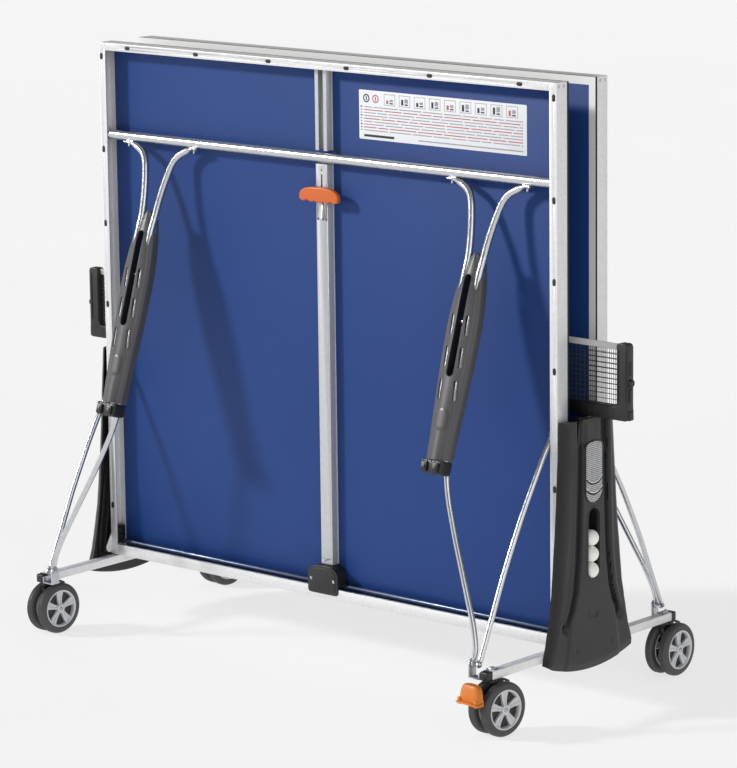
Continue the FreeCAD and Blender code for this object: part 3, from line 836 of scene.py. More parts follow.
def lock_parts():
    screws = both_ends(bolt((38, -101.0, 214), (0, -1, 0), 3.4, 1.6))
    # painted shade: a dark disc in the lock box's port
    port = bolt((0, -101.1, 186), (0, -1, 0), 2.4, 0.7, False)
    for side, put in halves():
        top = "half_top_" + side
        put(lock_case()).make("lock_box_" + side, "black", top, nodes=("lock_fittings_" + side,),
                              slot="black_plastic")
        put(screws).make("lock_box_screws_" + side, "zinc", top)
        put(port).make("lock_box_port_shade_" + side, "pod_dark", top)
        put(both_ends(lock_latch())).make("lock_latches_" + side, "black", top)
        put(both_ends(bar_bearing())).make("bar_bearings_" + side, "rail", top)


def info_panel():
    """Pale film with rows of generic bars instead of pictures and text."""
    y = BACKING_Y
    film = pillow(rounded_rect(108, 641, 1349, 1471, 3, 4), [(y - 0.05, 0), (y - 0.45, 0), (y - 0.6, 0.3)])
    film.make("info_panel", "label", "half_top_front", nodes=("info_label",), slot="label_white")
    rows = {"print_red": Build(), "print_grey": Build(), "print_dark": Build()}

    def bar(kind, x0, x1, z0, z1):
        rows[kind].join(block(x0, x1, y - 0.78, y - 0.55, z0, z1, 0.08))
    for k in range(9):
        x = 190 + 48.5 * k
        for x0, x1, z0, z1 in ((0, 36, 1437, 1438.4), (0, 36, 1463.6, 1465), (0, 1.4, 1437, 1465),
                               (34.6, 36, 1437, 1465)):
            bar("print_grey", x + x0, x + x1, z0, z1)
        tall = (k * 5) % 9
        bar("print_dark" if k % 4 else "print_red", x + 7, x + 14, 1441, 1450 + tall)
        bar("print_dark", x + 18, x + 29, 1441, 1444.5)
        bar("print_grey", x + 18, x + 29, 1447, 1452 + tall)
    ring = [(7.2, y - 0.78), (10.5, y - 0.78), (10.5, y - 0.55), (7.2, y - 0.55)]
    for x, kind in ((132, "print_dark"), (162, "print_red")):
        rows[kind].join(lathe(ring, 24, (x, 0, 1451), "y", True))
        bar(kind, x - 1.8, x + 1.8, 1446, 1456)
    for r in range(9):
        z = 1429.5 - 7.2 * r
        x = 124.0
        k = 0
        while x < 628:
            end = min(x + 26 + (r * 37 + k * 53) % 61, 630)
            bar("print_red" if r % 3 == 1 else "print_grey", x, end, z - 1.2, z + 1.2)
            x = end + 5
            k += 1
        bar("print_grey" if r % 3 else "print_dark", 113, 118.5, z - 1.6, z + 1.6)
    bar("print_dark", 124, 222, 1355.5, 1361.5)
    bar("print_grey", 300, 630, 1357, 1360)
    for kind, b in rows.items():
        b.make("info_panel_" + kind, kind, "half_top_front", weld=False)


def grip_outline():
    """Arched bar with round ends and four finger hollows below."""
    half, mid = 65.0, 1196.0
    out = []
    for k in range(33):
        a = math.pi * k / 32
        x = half * math.copysign(abs(math.cos(a)) ** 0.78, math.cos(a))
        out.append((x, mid + 25.0 * math.sin(a) ** 0.78))
    for k in range(1, 64):
        a = math.pi * k / 64
        x = -half * math.copysign(abs(math.cos(a)) ** 0.42, math.cos(a))
        z = mid - 14.0 * math.sin(a) ** 0.42
        if abs(x) < 52:
            z += 4.2 * math.cos(math.pi * (x - 13.0) / 26.0) ** 2
        out.append((x, z))
    return out


def handles():
    for side, put in halves():
        grip = pillow(grip_outline(), rounded_levels(-95.9, -82.0, 4.2, 5))
        put(grip).make("lock_grip_" + side, "orange", "handle_" + side, nodes=("lock_handle_" + side,),
                       slot="accent_orange", sharp=60)
        key = block(-1.7, 1.7, -82.6, -75.5, 1207.5, 1226, 0.6)
        key.join(block(-7, 7, -78.6, -76.8, 1209, 1224.5, 0.8))
        put(key).make("lock_slider_" + side, "black", "handle_" + side)


# ---------------------------------------------------------------- legs
# distance below the bar and half width of the shell
SHELL = ((188, 6.0), (191, 11.0), (197, 16.5), (206, 21.5), (218, 25.5), (235, 30.5), (260, 36.0),
         (290, 40.5), (325, 44.0), (364, 46.0), (410, 46.0), (460, 44.8), (520, 42.0), (575, 39.0),
         (630, 36.0), (670, 34.0), (692, 33.2))
SHELL_WALL = 3.0
SHELL_EDGE = 11.0
SHELL_CROWN = 8.0
SLOT_HALF = 10.6
SIDE_SLOTS = (365, 443, 523)
SIDE_SLOT_X = 22.8
SLOT_LEAN = math.radians(4.5)


def shell_edge(v):
    """Depth where the crowned front face meets the rounded side, along the leg."""
    if v < 300:
        return -4.0 - (SHELL_EDGE - 4.0) * math.sin(math.pi / 2 * (v - 188) / 112.0) ** 0.8
    return -SHELL_EDGE


def shell_face(x, v, width=44.0):
    """Depth of the crowned front face at a point of the leg."""
    flat = width - min(10.0, width * 0.6)
    crown = SHELL_CROWN * min(1.0, 0.35 + (v - 188) / 120.0)
    return shell_edge(v) - crown * (1 - min(1.0, (x / flat) ** 2))


def shell_ring(v, w):
    """Cross-section of the open shell at a station of the leg: outside first, then inside."""
    edge = shell_edge(v)
    r = min(10.0, w * 0.6)
    back = 17.0 if v > 210 else 17.0 - (210 - v) * 0.5
    outer = [(w - 0.6, back), (w, back - 1.2), (w, edge + r + 4), (w, edge + r)]
    for k in range(1, 7):
        a = math.pi / 2 * k / 7
        outer.append((w - r * (1 - math.cos(a)), edge + r * (1 - math.sin(a))))
    for k in range(11):
        x = (w - r) * (1 - k / 10.0)
        outer.append((x, shell_face(x, v, w)))
    wi = w - SHELL_WALL
    inside = [(wi, back - 0.2), (wi, edge + r + 4)]
    for k in range(1, 5):
        a = math.pi / 2 * k / 5
        inside.append((wi - (r - 2) * (1 - math.cos(a)), edge + SHELL_WALL + (r - 2) * (1 - math.sin(a))))
    for x in ((w - r) * 0.5, 0.0):
        inside.append((x, shell_face(x, v, w) + SHELL_WALL))
    left = [(-x, y) for x, y in reversed(outer[:-1])]
    inner_left = [(-x, y) for x, y in inside[:-1]]
    return [(x, y, -v) for x, y in outer + left + inner_left + inside[::-1]]


def shell_body():
    stations = smooth_path([(v, w, 0) for v, w in SHELL], 4)
    rings = [shell_ring(station.x, station.y) for station in stations]
    mid = [(x * 0.4, y * 0.5, z + 1.2) for x, y, z in rings[0]]
    return loft([mid] + rings)


def side_slot(grow, v, side):
    """Outline of one oblique slot beside the channel, as (x, z) points."""
    c, s = math.cos(SLOT_LEAN), math.sin(SLOT_LEAN)
    pts = rounded_rect(-4.6 - grow, 4.6 + grow, -25 - grow, 25 + grow, 3.8 + grow * 0.8, 4)
    return [(a * c - b * s + side * SIDE_SLOT_X, a * s + b * c - v) for a, b in pts]


def raised_lip(outline_at, place_depth):
    """Thin moulded lip round an opening; outline_at(grow) gives its outline."""
    rings = []
    for grow, up in ((0.0, 1.5), (0.0, -0.5), (0.5, -0.9), (1.3, -0.4), (1.5, 1.0)):
        rings.append([(a, place_depth(a, b) + up, b) for a, b in outline_at(grow)])
    rings.append(rings[0])
    return loft(rings, caps=False)


def shell_depth(a, b):
    return shell_face(abs(a), -b)


def cut_shell():
    """The shell with its long channel, its oblique slots and the ways in for the two tubes."""
    cutters = [pillow(stadium(0, -480, -252, SLOT_HALF, 12), [(-34, 0), (-2, 0)])]
    for side in (-1, 1):
        for v in SIDE_SLOTS:
            cutters.append(pillow(side_slot(0.0, v, side), [(-34, 0), (-4, 0)]))
        line = [(27.5, -3.0, -150), (24.5, -2.0, -200), (22.6, 0.0, -245), (22.2, 0, -300)]
        cutters.append(solid_rod([(side * x, y, z) for x, y, z in line], 10.4, 24, 6, 0.1))
    return cut_mesh(shell_body(), cutters)


def shell_trim():
    """Lips round the openings, and a plain badge plate."""
    trim = raised_lip(lambda grow: stadium(0, -480, -252, SLOT_HALF + grow, 12), shell_depth)
    for v in SIDE_SLOTS:
        for side in (-1, 1):
            trim.join(raised_lip(lambda grow: side_slot(grow, v, side), shell_depth))
    plate = rounded_rect(-17, 17, -622, -566, 16, 8)
    badge = [[(a, shell_depth(a, b) + up, b) for a, b in offset_outline(plate, inset)]
             for inset, up in ((0, 0.8), (0, -0.5), (0.8, -1.0), (9.0, -1.1))]
    return trim.join(loft(badge))


def shell_channel_shade():
    """Painted shade: a dark lining inside the long channel."""
    outer = stadium(0, -484, -246, SLOT_HALF + 2.2, 12)
    inner = stadium(0, -484, -246, SLOT_HALF + 0.6, 12)
    rings = [[(a, shell_depth(a, b) + 1.2, b) for a, b in pts] for pts in (inner, outer)]
    rings += [[(a, 12.0, b) for a, b in pts] for pts in (outer, inner)]
    rings.append(rings[0])
    return loft(rings, caps=False)


def shell_ribs():
    ribs = Build()
    for v, reach_x in ((300, 38.5), (560, 38.5), (650, 33.5)):
        ribs.join(both_ends(block(31.6, reach_x, -5, 12, -v - 1.2, -v + 1.2, 0.8)))
    return ribs


def leg_shells():
    body, trim, channel, ribs = cut_shell(), shell_trim(), shell_channel_shade(), shell_ribs()
    for end, put in halves():
        leg = "leg_set_" + end
        for hand, cx in LEGS:
            tail = "_%s_%s" % (end, hand)
            nodes = ("leg_shells_" + end,) if hand == "right" else ()
            put(leg_place(body, cx)).make("leg_shell" + tail, "shell", leg, slot="shell_grey", nodes=nodes,
                                          sharp=32, weld=False)
            put(leg_place(trim, cx)).make("shell_trim" + tail, "shell", leg, slot="shell_grey", sharp=50)
            # painted shade: the channel's lining is near-black where the shell is grey
            put(leg_place(channel, cx)).make("shell_channel_shade" + tail, "pod_dark", leg, slot="shell_grey")
            put(leg_place(ribs, cx)).make("shell_ribs" + tail, "shell", leg, slot="shell_grey")


# across and along the leg, from the bar down
LEG_TUBE = ((128, 16.4), (120, 16.5), (112, 17.0), (102, 19.0), (92, 22.5), (80, 28), (66, 36.5),
            (54, 50), (46, 68), (40, 90), (33, 122), (27, 160), (23.4, 200), (22, 245), (22, 330),
            (22, 430), (22, 530), (22, 570), (22, 620), (22, 700))


def press_root(i, count):
    """The tube is pressed flat where it is welded under the bar."""
    t = step(i, count * 0.08, count * 0.24)
    return 1.0 + 0.22 * (1 - t), 0.40 + 0.60 * t


def leg_tubes():
    path = [(x, -4.6 * step(v, 190, 270) * (1 - step(v, 530, 600)), -v) for x, v in LEG_TUBE]
    tube = both_ends(pipe(path, 9.0, 1.5, 24, 5, press_root))
    saddle = block(102, 128, -6, 6, -15.5, -11.6, 1.2).join(block(119.0, 128.8, -9.4, 9.4, -19.4, -13.4, 2.4))
    stud = both_ends(bolt((117, 0, -19.6), (0, 0, -1), 2.8, 8.0, False))
    stops = [-BAR_END, -400, 0, 400, BAR_END]
    bar = pipe([(x, BAR_Y, BAR_Z) for x in stops], 12.5, 1.5, 32, 4)
    for side, put in halves():
        leg = "leg_set_" + side
        for name, mat, part, more in (("leg_tubes_%s_pipe", "tube", tube,
                                       {"nodes": ("leg_tubes_" + side,), "slot": "tube_silver", "sharp": 50}),
                                      ("leg_saddles_%s", "tube", both_ends(saddle), {}),
                                      ("leg_bolts_%s", "zinc", stud, {})):
            pair = leg_place(part, LEG_X).join(leg_place(part, -LEG_X))
            put(pair).make(name % side, mat, leg, **more)
        put(bar).make("leg_bar_%s_pipe" % side, "tube", leg, nodes=("leg_bar_" + side,), slot="tube_silver",
                      sharp=50)


def leg_foot():
    """Foot of one leg: moulded block, two lugs, two levelling pads and grip ribs."""
    levels = [(-693.3, 2.0), (-694.0, 1.0), (-696, 0.2), (-703, 0), (-721, 0.8), (-725, 2.2), (-726.5, 4.5)]
    foot = pillow(rounded_rect(-33, 33, -25.5, 18.5, 6, 5), levels, facing_z)
    pad = [(0.2, -728.0), (12, -728.0), (14, -726.8), (14, -724.5), (10, -723.5)]
    for x in (-17, 17):
        foot.join(block(x - 8.5, x + 8.5, -30.6, -22, -723.5, -700, 1.6))
        foot.join(block(x - 5.0, x + 5.0, -32.0, -29, -719, -706, 1.0))
        foot.join(lathe(pad, 28, (x, 0, 0), "z"))
    for x in (-24, -12, 0, 12, 24):
        foot.join(block(x - 1.0, x + 1.0, -26.6, -24.6, -699.5, -695.0, 0.6))
    return foot


def leg_feet():
    for side, put in halves():
        for hand, cx in LEGS:
            nodes = ("leg_feet_" + side,) if hand == "right" else ()
            put(leg_place(leg_foot(), cx)).make("leg_foot_%s_%s" % (side, hand), "black", "leg_set_" + side,
                                                nodes=nodes, slot="black_plastic")


ARM_X = 731.5
# across the table and along the link, from the base pivot up
STAY_BOW = ((716, 6), (716, 20), (714, 40), (708, 62), (694, 100), (673.5, 145), (653, 190), (632, 236),
            (612, 280), (593, 325), (577, 365), (564.5, 404), (556, 442), (551.5, 480), (550, 520),
            (550, 580), (550, 660))
# sideways bow and height along the link
ARM_BOW = ((0, 6), (0, 14), (-3, 60), (-9, 140), (-13, 190), (-15.5, 240), (-17, 340), (-15.5, 400),
           (-12, 460), (-7, 530))


def eyelet(x, half, bore, r, z):
    """Ring of a link round its pin, at height z of the link."""
    rim = half - 0.6 if half < 5 else half - 0.8
    shoulder = r - 0.4 if half < 5 else r - 0.6
    profile = [(bore, x - half), (shoulder, x - half), (r, x - rim), (r, x + rim), (shoulder, x + half),
               (bore, x + half)]
    return lathe(profile, 32, (0, 0, z), "x", True)


def stay_parts():
    """Stay from the base tube, bowing inwards to its pin in the leg."""
    n = reach(STAY_PIVOT)
    path = [(x, 0, z) for x, z in STAY_BOW + ((550, n - 12),)]
    stay = pipe(path, 7.0, 1.3, 22, 5, pressed_end(0.07, 0.35, 0.55))
    foot = [(4.1, 713.1), (8.6, 713.1), (9.2, 714), (9.2, 718), (8.6, 718.9), (4.1, 718.9)]
    stay.join(lathe(foot, 32, (0, 0, 0), "x", True)).join(eyelet(LEG_X, 6.2, 4.05, 8.0, n))
    pin = solid_rod([(LEG_X - 12.5, 0, n), (LEG_X, 0, n), (LEG_X + 12.5, 0, n)], 4.0, 20, 3, 0.2)
    return both_ends(lean_place(stay, STAY_PIVOT)), both_ends(lean_place(pin, STAY_PIVOT))


def arm_parts():
    """Arm from the base tube to the half top's side rail, with the hardware of its foot."""
    m = reach(ARM_PIVOT)
    press = pressed_end(0.06, 0.30, 0.58, True)
    path = [(ARM_X, y, z) for y, z in ARM_BOW + ((-1.5, m - 24), (0, m - 8))]
    arm = pipe(path, 6.8, 1.3, 22, 5, lambda i, count: tuple(reversed(press(i, count))))
    arm.join(eyelet(ARM_X, 2.6, 4.0, 8.2, 0)).join(eyelet(ARM_X, 2.6, 4.1, 8.2, m))
    foot = bolt((ARM_X - 2.4, 0, 0), (-1, 0, 0), 4.4, 3.6)
    foot.join(hex_nut((ARM_X + 2.4, 0, 0), (1, 0, 0), 9.0, 4.0))
    return both_ends(lean_place(arm, ARM_PIVOT)), both_ends(lean_place(foot, ARM_PIVOT))


def linkage():
    stays, pins = stay_parts()
    arms, bolts = arm_parts()
    studs = both_ends(bolt((725.2, ARM_PIVOT[0], ARM_PIVOT[1]), (-1, 0, 0), 5.0, 3.0))
    for side, put in halves():
        put(stays).make("stay_tubes_" + side, "tube", "stays_" + side, nodes=("folding_stays_" + side,),
                        slot="tube_silver", sharp=50)
        put(pins).make("stay_pins_" + side, "zinc", "stays_" + side)
        put(arms).make("arm_tubes_" + side, "tube", "arms_" + side, nodes=("folding_arms_" + side,),
                       slot="tube_silver", sharp=50)
        put(bolts).make("arm_bolts_" + side, "zinc", "arms_" + side)
        put(studs).make("arm_stud_caps_" + side, "zinc", "half_top_" + side)


# ---------------------------------------------------------------- base
def base_parts():
    """Caps on the base tubes' ends, the straps and pins beside them, and the bolts of the crossbeam."""
    outline = rounded_rect(TUBE_X - 12.6, TUBE_X + 12.6, 139.8, 162.2, 3.4, 5)
    cap = pillow(outline, [(-352.0, 0.2), (-353.0, 0.0), (-366.5, 0.0), (-369.2, 0.7), (-370.6, 2.0),
                           (-371.0, 3.6)])
    cap.join(block(TUBE_X - 13.2, TUBE_X + 13.2, -355.6, -352.2, 139.4, 162.8, 1.2))
    four_corners(cap).make("tube_end_caps", "black", "chassis", nodes=("base_end_caps",),
                           slot="black_plastic")
    strap = block(742.6, 769.4, -346, -322, 161.8, 164.2, 1.0)
    strap.join(block(742.0, 744.0, -346, -322, 150, 164.0, 0.9))
    strap.join(bolt((TUBE_X, -334, 164.0), (0, 0, 1), 5.0, 4.6))
    strap.join(hex_nut((TUBE_X, -343.0, 162.0), (0, 0, 1), 11.0, 5.5))
    strap.join(bolt((709.2, BASE_PIVOT[0], BASE_PIVOT[1]), (-1, 0, 0), 6.2, 4.0))
    strap.join(hex_nut((720.9, BASE_PIVOT[0], BASE_PIVOT[1]), (1, 0, 0), 6.0, 2.4))
    four_corners(strap).make("base_hardware", "zinc", "chassis")
    joint = Build()
    for y in (-40, -56):
        joint.join(bolt((770.5, y, 151), (1, 0, 0), 5.2, 3.4))
    joint.join(bolt((752, -18.0, 162.0), (0, 0, 1), 4.6, 3.6))
    four_corners(joint).make("base_bolts", "zinc", "chassis")


# ---------------------------------------------------------------- casters
def caster_put(b, corner):
    """From the castor's own frame, with its swivel at the origin, to one corner of the base."""
    sx = 1 if corner.endswith("right") else -1
    sy = -1 if corner.startswith("front") else 1
    a = math.radians(HEADINGS[corner])
    c, s = math.cos(a), math.sin(a)
    x, y = sx * TUBE_X, sy * SWIVEL_Y
    return b.mapped(lambda p: Vector((p.x * c - p.y * s + x, p.x * s + p.y * c + y, p.z)))


def tyre_shape(x0, x1):
    """Tread with three grooves, rounded shoulders and a raised bead ring on both sidewalls."""
    mid = (x0 + x1) / 2
    wall = [(50.6, 1.2), (51.6, 0.6), (53.4, 0.5), (54.4, 1.1), (57.5, 0.9), (60.5, 1.5), (62.8, 2.6),
            (64.9, 4.4), (66.2, 6.4), (66.8, 8.0), (66.95, 8.6), (65.6, 8.9), (65.6, 9.7), (66.98, 10.0)]
    left = [(r, x0 + d) for r, d in wall]
    middle = [(67.0, mid - 0.9), (65.4, mid - 0.6), (65.4, mid + 0.6), (67.0, mid + 0.9)]
    right = [(r, x1 - d) for r, d in reversed(wall)]
    return about_axle(left + middle + right + [(49.4, x1 - 1.6), (49.4, x0 + 1.6)], 96)


SPOKE_FACE = ((-1.0, 1.6), (-0.86, 0.4), (-0.5, 0.0), (-0.22, 0.1), (-0.12, 1.5), (0.12, 1.5), (0.22, 0.1),
              (0.5, 0.0), (0.86, 0.4), (1.0, 1.6))


def about_axle(profile, steps):
    return lathe(profile, steps, (0, TRAIL, WHEEL_R), "x", True)


def spoke(x0, x1, angle):
    """Fluted spoke that widens towards the rim and is dished on both faces."""
    c, s = math.cos(angle), math.sin(angle)
    rings = []
    for r in (11.0, 14, 18, 24, 30, 36, 41, 44.6):
        t = (r - 11.0) / 33.6
        w = 5.2 + 6.3 * t ** 1.1
        dish = 3.0 + 2.2 * math.sin(math.pi * t)
        face = [(u * w, x1 - dish - d) for u, d in SPOKE_FACE]
        face += [(u * w, x0 + dish + d) for u, d in reversed(SPOKE_FACE)]
        rings.append([(x, TRAIL + r * c - u * s, WHEEL_R + r * s + u * c) for u, x in face])
    return loft(rings)


def spoke_wheel(x0, x1):
    """Bright rim ring, hub and five spokes, and the dark web between them."""
    mid = (x0 + x1) / 2
    rim = [(49.5, 1.0), (49.0, 0.3), (47.4, 0.2), (45.6, 1.2), (44.4, 3.0), (43.8, 6.0)]
    hub = [(6.4, 0.4), (9.8, 0.4), (11.8, 1.4), (12.6, 3.4)]
    rim_left, rim_right = [(r, x0 + d) for r, d in rim], [(r, x1 - d) for r, d in reversed(rim)]
    out = about_axle(rim_left + [(43.5, mid)] + rim_right, 96)
    out.join(about_axle([(r, x0 + d) for r, d in hub] + [(r, x1 - d) for r, d in reversed(hub)], 48))
    for k in range(5):
        out.join(spoke(x0, x1, math.radians(72 * k + 90)))
    web = about_axle([(12.0, mid - 1.0), (44.2, mid - 1.0), (44.2, mid + 1.0), (12.0, mid + 1.0)], 72)
    return out, web


FORK_SIDE = ((-15, 133.4), (15, 133.4), (20, 128), (27, 112), (32, 90), (33, 72), (29, 58), (18, 52.5),
             (8, 56))
FORK_BACK = ((2, 66), (-3, 82), (-8, 98), (-15, 110))
BRAKE_BACK = ((2, 66), (-4, 82), (-12, 98), (-24, 107), (-42, 109.5), (-54.5, 112), (-57.5, 118),
              (-54.5, 124.5), (-42, 127), (-24, 129))


def fork_body(braked):
    """Castor body between the wheels, with its top plate and guard; longer where it carries a pedal."""
    side = FORK_SIDE + (BRAKE_BACK if braked else FORK_BACK)
    path = smooth_path([(a, b, 0) for a, b in side + side[:1]], 4)[:-1]
    out = pillow([(p.x, p.y) for p in path], rounded_levels(-6.0, 6.0, 1.6, 3), facing_x)
    plate = [(0.2, 133.2), (13.8, 133.2), (15.2, 134.2), (15.2, 138.2), (14.2, 139.4), (0.2, 139.4)]
    out.join(lathe(plate, 40, (0, 0, 0), "z"))
    profile = ((70.0, -5.9), (71.6, -5.2), (72.2, 0), (71.6, 5.2), (70.0, 5.9), (66.5, 5.9), (66.5, -5.9))
    guard = []
    for k in range(13):
        a = math.radians(58 + 64 * k / 12.0)
        c, s = math.cos(a), math.sin(a)
        guard.append([(x, TRAIL + r * c, min(WHEEL_R + r * s, 138.8)) for r, x in profile])
    return out.join(loft(guard))


def pedal_cap():
    rings = []
    for k in range(13):
        t = k / 12.0
        lift = math.sin(math.pi / 2 * t)
        shrink = math.cos(math.pi / 2 * t) ** 0.5
        ring = []
        for i in range(44):
            a = 2 * math.pi * i / 44
            x = (10 + 25 * shrink) * math.copysign(abs(math.cos(a)) ** 0.66, math.cos(a))
            y = (5.0 + 8.6 * shrink) * math.copysign(abs(math.sin(a)) ** 0.66, math.sin(a))
            ring.append((x, y - 64.4 + 3.4 * lift, 92.0 + 46.8 * lift))
        rings.append(ring)
    return loft(rings)


def pedal_brim():
    rings = []
    for k in range(13):
        t = k / 12.0
        w = 39.5 - 5.0 * t ** 2.4
        z = 101.0 - 5.2 * math.sin(math.pi * 0.62 * t) + 2.6 * t ** 3
        thick = 3.4 - 1.0 * t
        ring = []
        for way in (1, -1):
            for i in range(17):
                u = way * (-1 + 2 * i / 16.0)
                back = 11.0 * (1 - math.sqrt(max(0.0, 1 - (0.96 * u) ** 2)))
                edge = math.sqrt(max(0.0, 1 - (0.98 * u) ** 6))
                ring.append((u * w, back - 68.0 - 23.0 * t, z - 3.0 * u * u + way * thick * edge))
        rings.append(ring)
    return loft(rings)


def pedal_shape():
    """Rounded cap with a wide brim that the foot presses, and two side blocks."""
    return pedal_cap().join(pedal_brim()).join(both_ends(block(22.0, 33.6, -80, -53.5, 88.5, 106, 3.6)))


def caster_axle():
    """Axle with its caps, and the stem that goes up into the base tube."""
    axle = both_ends(bolt((FORK_W / 2 + 2 + WHEEL_W - 0.4, TRAIL, WHEEL_R), (1, 0, 0), 4.6, 3.2))
    axle.join(solid_rod([(-33, TRAIL, WHEEL_R), (0, TRAIL, WHEEL_R), (33, TRAIL, WHEEL_R)], 5.9, 24, 3, 0.05))
    return axle.join(solid_rod([(0, 0, 138.8), (0, 0, 148), (0, 0, 155.5)], 5.9, 24, 3, 0.1))


def wheel(letter, x0, corner):
    body = "wheel_%s_%s" % (letter, corner)
    tail = "_%s_%s" % (letter, corner)
    rim, web = spoke_wheel(x0, x0 + WHEEL_W)
    caster_put(tyre_shape(x0, x0 + WHEEL_W), corner).make("tyre" + tail, "tyre", body, nodes=(body,),
                                                          slot="tyre_black", sharp=40)
    caster_put(rim, corner).make("rim" + tail, "rim", body, sharp=38)
    caster_put(web, corner).make("rim_web" + tail, "black", body, slot="tyre_black")


def casters():
    pin = solid_rod([(-9, -50, 118), (0, -50, 118), (9, -50, 118)], 2.9, 18, 3, 0.1)
    for corner in HEADINGS:
        braked = corner in ("front_right", "back_left")
        caster_put(fork_body(braked), corner).make("caster_body_" + corner, "black", "caster_" + corner,
                                                   nodes=("caster_fork_" + corner,), slot="fork_black")
        caster_put(caster_axle(), corner).make("caster_axle_" + corner, "zinc", "caster_" + corner)
        wheel("a", FORK_W / 2 + 2, corner)
        wheel("b", -FORK_W / 2 - 2 - WHEEL_W, corner)
        if braked:
            brake = "brake_" + corner
            caster_put(pedal_shape(), corner).make("pedal_" + corner, "pedal", brake,
                                                   nodes=("brake_pedal_" + corner,), slot="accent_orange",
                                                   sharp=50)
            caster_put(pin, corner).make("pedal_pin_" + corner, "zinc", brake)


# ---------------------------------------------------------------- end covers
# height, then the half widths of the cover's rim, face and channel
POD_ROWS = ((722, 99, 69, 50), (690, 101, 71, 50.5), (640, 105, 74, 51.5), (600, 108, 77, 52),
            (530, 112, 84, 53.5), (457, 117, 91, 56), (380, 124, 101, 60), (305, 131, 110, 70),
            (262, 138, 120, 83), (226, 145, 128, 100), (190, 153, 136, 106), (150, 163, 150, 112),
            (110, 176, 167, 120), (95, 180, 172, 122))



def pod_values(z):
    """Half widths of the rim, the face and the channel at a height."""
    rows = POD_ROWS
    if z >= rows[0][0]:
        return rows[0][1:]
    for a, b in zip(rows, rows[1:]):
        if a[0] >= z >= b[0]:
            t = (a[0] - z) / (a[0] - b[0])
            t = t * t * (3 - 2 * t) * 0.35 + t * 0.65
            return tuple(p + (q - p) * t for p, q in zip(a[1:], b[1:]))
    return rows[-1][1:]


def pod_bottom(y):
    """Height of the cover's arched lower edge."""
    return 601 - math.sqrt(500.0 ** 2 - min(abs(y), 185.0) ** 2) + 12.0 * step(abs(y), 150, 184) ** 1.5


def step(t, a, b):
    """Smooth rise from 0 at a to 1 at b."""
    t = max(0.0, min(1.0, (t - a) / (b - a)))
    return t * t * (3 - 2 * t)


def pod_depth(y, z):
    """Outer face of the cover at a point, by its raised field, channels and rims."""
    rim, face, chan = pod_values(z)
    a = abs(y)
    x = POD_X
    inwards = min(1.0, max(0.0, (rim - a) / (rim - face)))
    side = 769.5 + (x - 769.5) * (math.sin(math.pi / 2 * inwards) ** 0.75)
    if a > face:
        x = side
    x += 3.0 * (1.0 - step(a, chan - 15, chan - 9))
    end = step(z, 206, 244)
    open_top = 1.0 - step(z, 716, 722)
    x -= CHANNEL_DEPTH * math.exp(-((a - chan) / 8.4) ** 4) * end * open_top
    ridge = math.exp(-((a - chan - 16.5) / 5.0) ** 2) * end
    x += 2.4 * ridge * (1 - step(a, face - 3, face + 4))
    well = math.exp(-(((a - 104) / 14.0) ** 2 + ((z - 219) / 17.0) ** 2) ** 2)
    x -= 6.5 * well
    pocket = math.exp(-((a - 39.0) / 12.0) ** 6)
    x -= 7.0 * pocket * step(z, 650, 668) * (1.0 - step(z, 712, 719))
    x += 1.0 * math.exp(-((z - 644) / 5.0) ** 2) * pocket
    x -= 5.0 * step(pod_bottom(y) + 24 - z, 0, 24) ** 1.6
    small = math.exp(-(((a - 66) / 5.0) ** 2 + ((z - 157) / 5.0) ** 2) ** 2)
    x -= 3.5 * small
    return x


def painted_channel_shade(y, z):
    """How much painted shade the cover gets at a point: black in the long channels, darker on the side walls.
    """
    rim, face, chan = pod_values(z)
    a = abs(y)
    # painted shade in the channels; the side walls get painted shade too
    band = math.exp(-((a - chan + 2.0) / 11.0) ** 4) * step(z, 206, 244)
    return max(0.95 * band, 0.55 * step(a, face + 2, rim - 1))


def skin_point(u, t):
    """Outer and inner point of the cover; u runs across it from -1 to 1 and t down it from 0 to 1."""
    y = u * pod_values(POD_TOP - t * (POD_TOP - 101))[0]
    for _ in range(3):
        z = POD_TOP - t * (POD_TOP - pod_bottom(y))
        y = u * pod_values(z)[0]
    x = pod_depth(y, z) - 2.4 * (1 - step(POD_TOP - z, 0, 5))
    back = max(766.8, x - 2.8)
    if abs(u) == 1.0:
        x = back = 769.5
    shrink = 1.0 - 2.4 / max(60.0, pod_values(z)[0])
    return (x, y, z), (back, y * shrink, z)


def pod_skin():
    """Moulded cover as a closed shell, outer face and inner face a wall apart."""
    n, rows = 93, 118
    pairs = [skin_point((c - 46) / 46.0, r / rows) for r in range(rows + 1) for c in range(n)]
    verts = [outer for outer, inner in pairs] + [inner for outer, inner in pairs]
    half = n * (rows + 1)
    faces = []
    for r in range(rows):
        for c in range(n - 1):
            a = r * n + c
            b = half + a
            faces += [(a, a + 1, a + n + 1, a + n), (b + n, b + n + 1, b + 1, b)]
        a = r * n
        faces.append((a, a + n, half + a + n, half + a))
        a += n - 1
        faces.append((a + n, a, half + a, half + a + n))
    for c in range(n - 1):
        a = rows * n + c
        faces += [(c + 1, c, half + c, half + c + 1), (a, a + 1, half + a + 1, half + a)]
    return Build().add(verts, faces)


def ball_slot(r):
    """Outline of the ball recess, r being its half width."""
    return stadium(0, 347, 478, r, 14)


def ring_of(outlines):
    """Closed ring from (x, outline) pairs."""
    rings = [[(x, a, b) for a, b in outline] for x, outline in outlines]
    return loft(rings + rings[:1], caps=False)


def cover_lid():
    """Strip that closes the cover's top round the net post."""
    across = [99 * (-1 + 2 * k / 24.0) for k in range(25)]
    front = [(pod_depth(y * 0.999, 718) - 1.2, y) for y in across]
    back = [(784.0 if abs(y) < 68 else 770.5, y * 0.985) for x, y in reversed(front)]
    rings = [[(x, y, z) for x, y in front + back] for z in (719.4, 721.6)]
    return cut_mesh(loft(rings), [block(780, 791.2, -19.4, 19.4, 712, 730, 0.4)])


